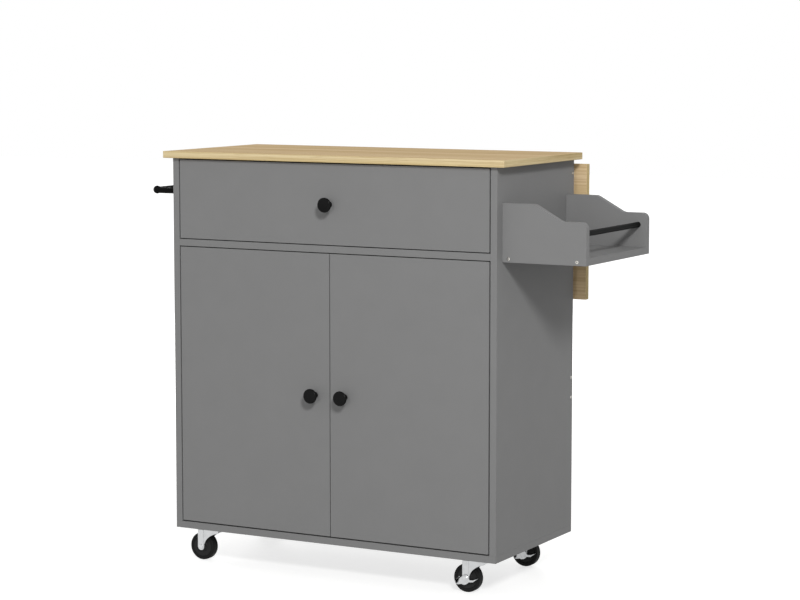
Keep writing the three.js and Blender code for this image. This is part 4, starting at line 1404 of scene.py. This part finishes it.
def seen(tree: bpy.types.NodeTree) -> Socket:
    """Tells the rays that look at the studio from those that light the island.

    Args:
        tree: the node tree of the floor or the world.

    Returns:
        A socket with 1 for camera, glossy and transmission rays and 0 for the others.
    """
    path = add_node(tree, "ShaderNodeLightPath")
    socket = path.outputs["Is Camera Ray"]
    for kind in ("Is Glossy Ray", "Is Transmission Ray"):
        links = {0: socket, 1: path.outputs[kind]}
        socket = add_node(tree, "ShaderNodeMath", {"operation": "MAXIMUM"}, links).outputs["Value"]
    return socket


@dataclass(frozen=True)
class PaleFloor(Finish):
    """Matt white studio paper, which keeps the island's shadow."""

    colour: str = "#b4b4b3"
    roughness: float = 0.9
    specular: float = 0.1
    fibre_mm: float = 3.0
    relief_mm: float = 0.05
    relief: float = 0.1  # the relief's strength
    near_lift: float = 0.7  # light of its own round the island, so that the paper photographs white
    far_lift: float = 1.0
    near_m: float = 0.9
    far_m: float = 2.6

    def dress(self, paint: Paint) -> None:
        """Gives the paper its faint fibre, and its own light where the camera sees it."""
        place = add_node(paint.tree, "ShaderNodeTexCoord").outputs["Object"]
        distance = add_node(paint.tree, "ShaderNodeVectorMath", {"operation": "LENGTH"}, {0: place})
        lifts = (self.near_lift, self.far_lift)
        lift = paint.fit(distance.outputs["Value"], (self.near_m, self.far_m), lifts)
        links = {0: seen(paint.tree), 1: lift}
        shown = add_node(paint.tree, "ShaderNodeMath", {"operation": "MULTIPLY"}, links)
        paint.put("Base Color", linear(self.colour))
        paint.put("Roughness", self.roughness)
        paint.put("Specular IOR Level", self.specular)
        paint.put("Emission Color", linear("#ffffff"))
        paint.put("Emission Strength", shown.outputs["Value"])
        paint.emboss(paint.grain([self.fibre_mm] * 3), self.relief, self.relief_mm)


@dataclass(frozen=True)
class Lamp:
    """A soft square lamp that looks at the island's middle."""

    name: str
    place: tuple[float, float, float]
    size: float
    level: float  # brightness that it alone gives a white surface which faces it

    def build(self, target: Vector) -> None:
        """Adds the lamp.

        Args:
            target: the point that it looks at.
        """
        light = bpy.data.lights.new(self.name, "AREA")
        light.size = self.size
        away = Vector(self.place) - target
        light.energy = self.level * math.pi**2 * away.length_squared
        lamp = bpy.data.objects.new(self.name, light)
        lamp.location = self.place
        lamp.rotation_euler = away.to_track_quat("Z", "Y").to_euler()
        lamp.visible_camera = False
        bpy.context.scene.collection.objects.link(lamp)


@dataclass
class Studio:
    """Floor, world, lamps and the camera at the photograph's angle."""

    camera_place: tuple[float, float, float] = (2.5202, -4.6064, 1.1773)
    camera_yaw: float = 28.594  # degrees to the left of straight back
    camera_pitch: float = 6.312  # degrees down
    lens_mm: float = 107.64
    floor_half: float = 14.0
    sky: float = 0.4
    target: tuple[float, float, float] = (-0.05, 0.0, 0.5)
    lamps: tuple[Lamp, ...] = (
        Lamp("key_lamp", (4.27, -5.41, 4.5), 1.15, 0.58),
        Lamp("front_lamp", (1.14, -6.74, 1.96), 2.0, 0.15),
        Lamp("rear_lamp", (-2.6, 3.9, 1.4), 2.2, 0.5),
        Lamp("left_lamp", (-4.2, 0.6, 1.3), 2.2, 0.3),
    )

    def floor(self) -> None:
        """Lays the floor."""
        half = self.floor_half
        corners = [(-half, -half, 0), (half, -half, 0), (half, half, 0), (-half, half, 0)]
        mesh = bpy.data.meshes.new("studio_floor")
        mesh.from_pydata(corners, [], [(0, 1, 2, 3)])
        mesh.materials.append(PaleFloor().material())
        floor = bpy.data.objects.new("studio_floor", mesh)
        bpy.context.scene.collection.objects.link(floor)

    def world(self) -> None:
        """Lights the room evenly, and shows white to the camera and to reflections."""
        world = bpy.data.worlds.new("studio")
        world.use_nodes = True
        bpy.context.scene.world = world
        tree = world.node_tree
        tree.nodes.clear()
        strength = add_node(
            tree,
            "ShaderNodeMapRange",
            {"To Min": self.sky, "To Max": 1.0},
            {"Value": seen(tree)},
        )
        background = add_node(
            tree,
            "ShaderNodeBackground",
            {"Color": linear("#ffffff")},
            {"Strength": strength.outputs["Result"]},
        )
        add_node(tree, "ShaderNodeOutputWorld", {}, {"Surface": background.outputs["Background"]})

    def camera(self) -> None:
        """Stands the camera where the photograph was taken from."""
        yaw, pitch = math.radians(self.camera_yaw), math.radians(self.camera_pitch)
        level = math.cos(pitch)
        look = Vector((-math.sin(yaw) * level, math.cos(yaw) * level, -math.sin(pitch)))
        data = bpy.data.cameras.new("camera")
        data.lens = self.lens_mm
        data.sensor_width = 36.0
        data.clip_start, data.clip_end = 0.1, 60.0
        camera = bpy.data.objects.new("camera", data)
        camera.location = self.camera_place
        camera.rotation_euler = look.to_track_quat("-Z", "Y").to_euler()
        bpy.context.scene.collection.objects.link(camera)
        bpy.context.scene.camera = camera

    def build(self) -> None:
        """Sets the studio up."""
        self.floor()
        self.world()
        for lamp in self.lamps:
            lamp.build(Vector(self.target))
        self.camera()
        bpy.context.scene.view_settings.view_transform = "Standard"


def main() -> None:
    """Dresses the island and sets up the studio."""
    logging.basicConfig(level=logging.INFO, format="%(name)s: %(message)s")
    casters = [Caster(end, side) for end in End for side in Side]
    fixed = [Carcass(), OakTop(), Drawer(), Doors(), SpiceRack(), TowelBar(), LeafBrackets()]
    for part in (*fixed, *casters):
        log.info("building %s", type(part).__name__)
        part.build()
    Studio().build()


if __name__ == "__main__":
    main()
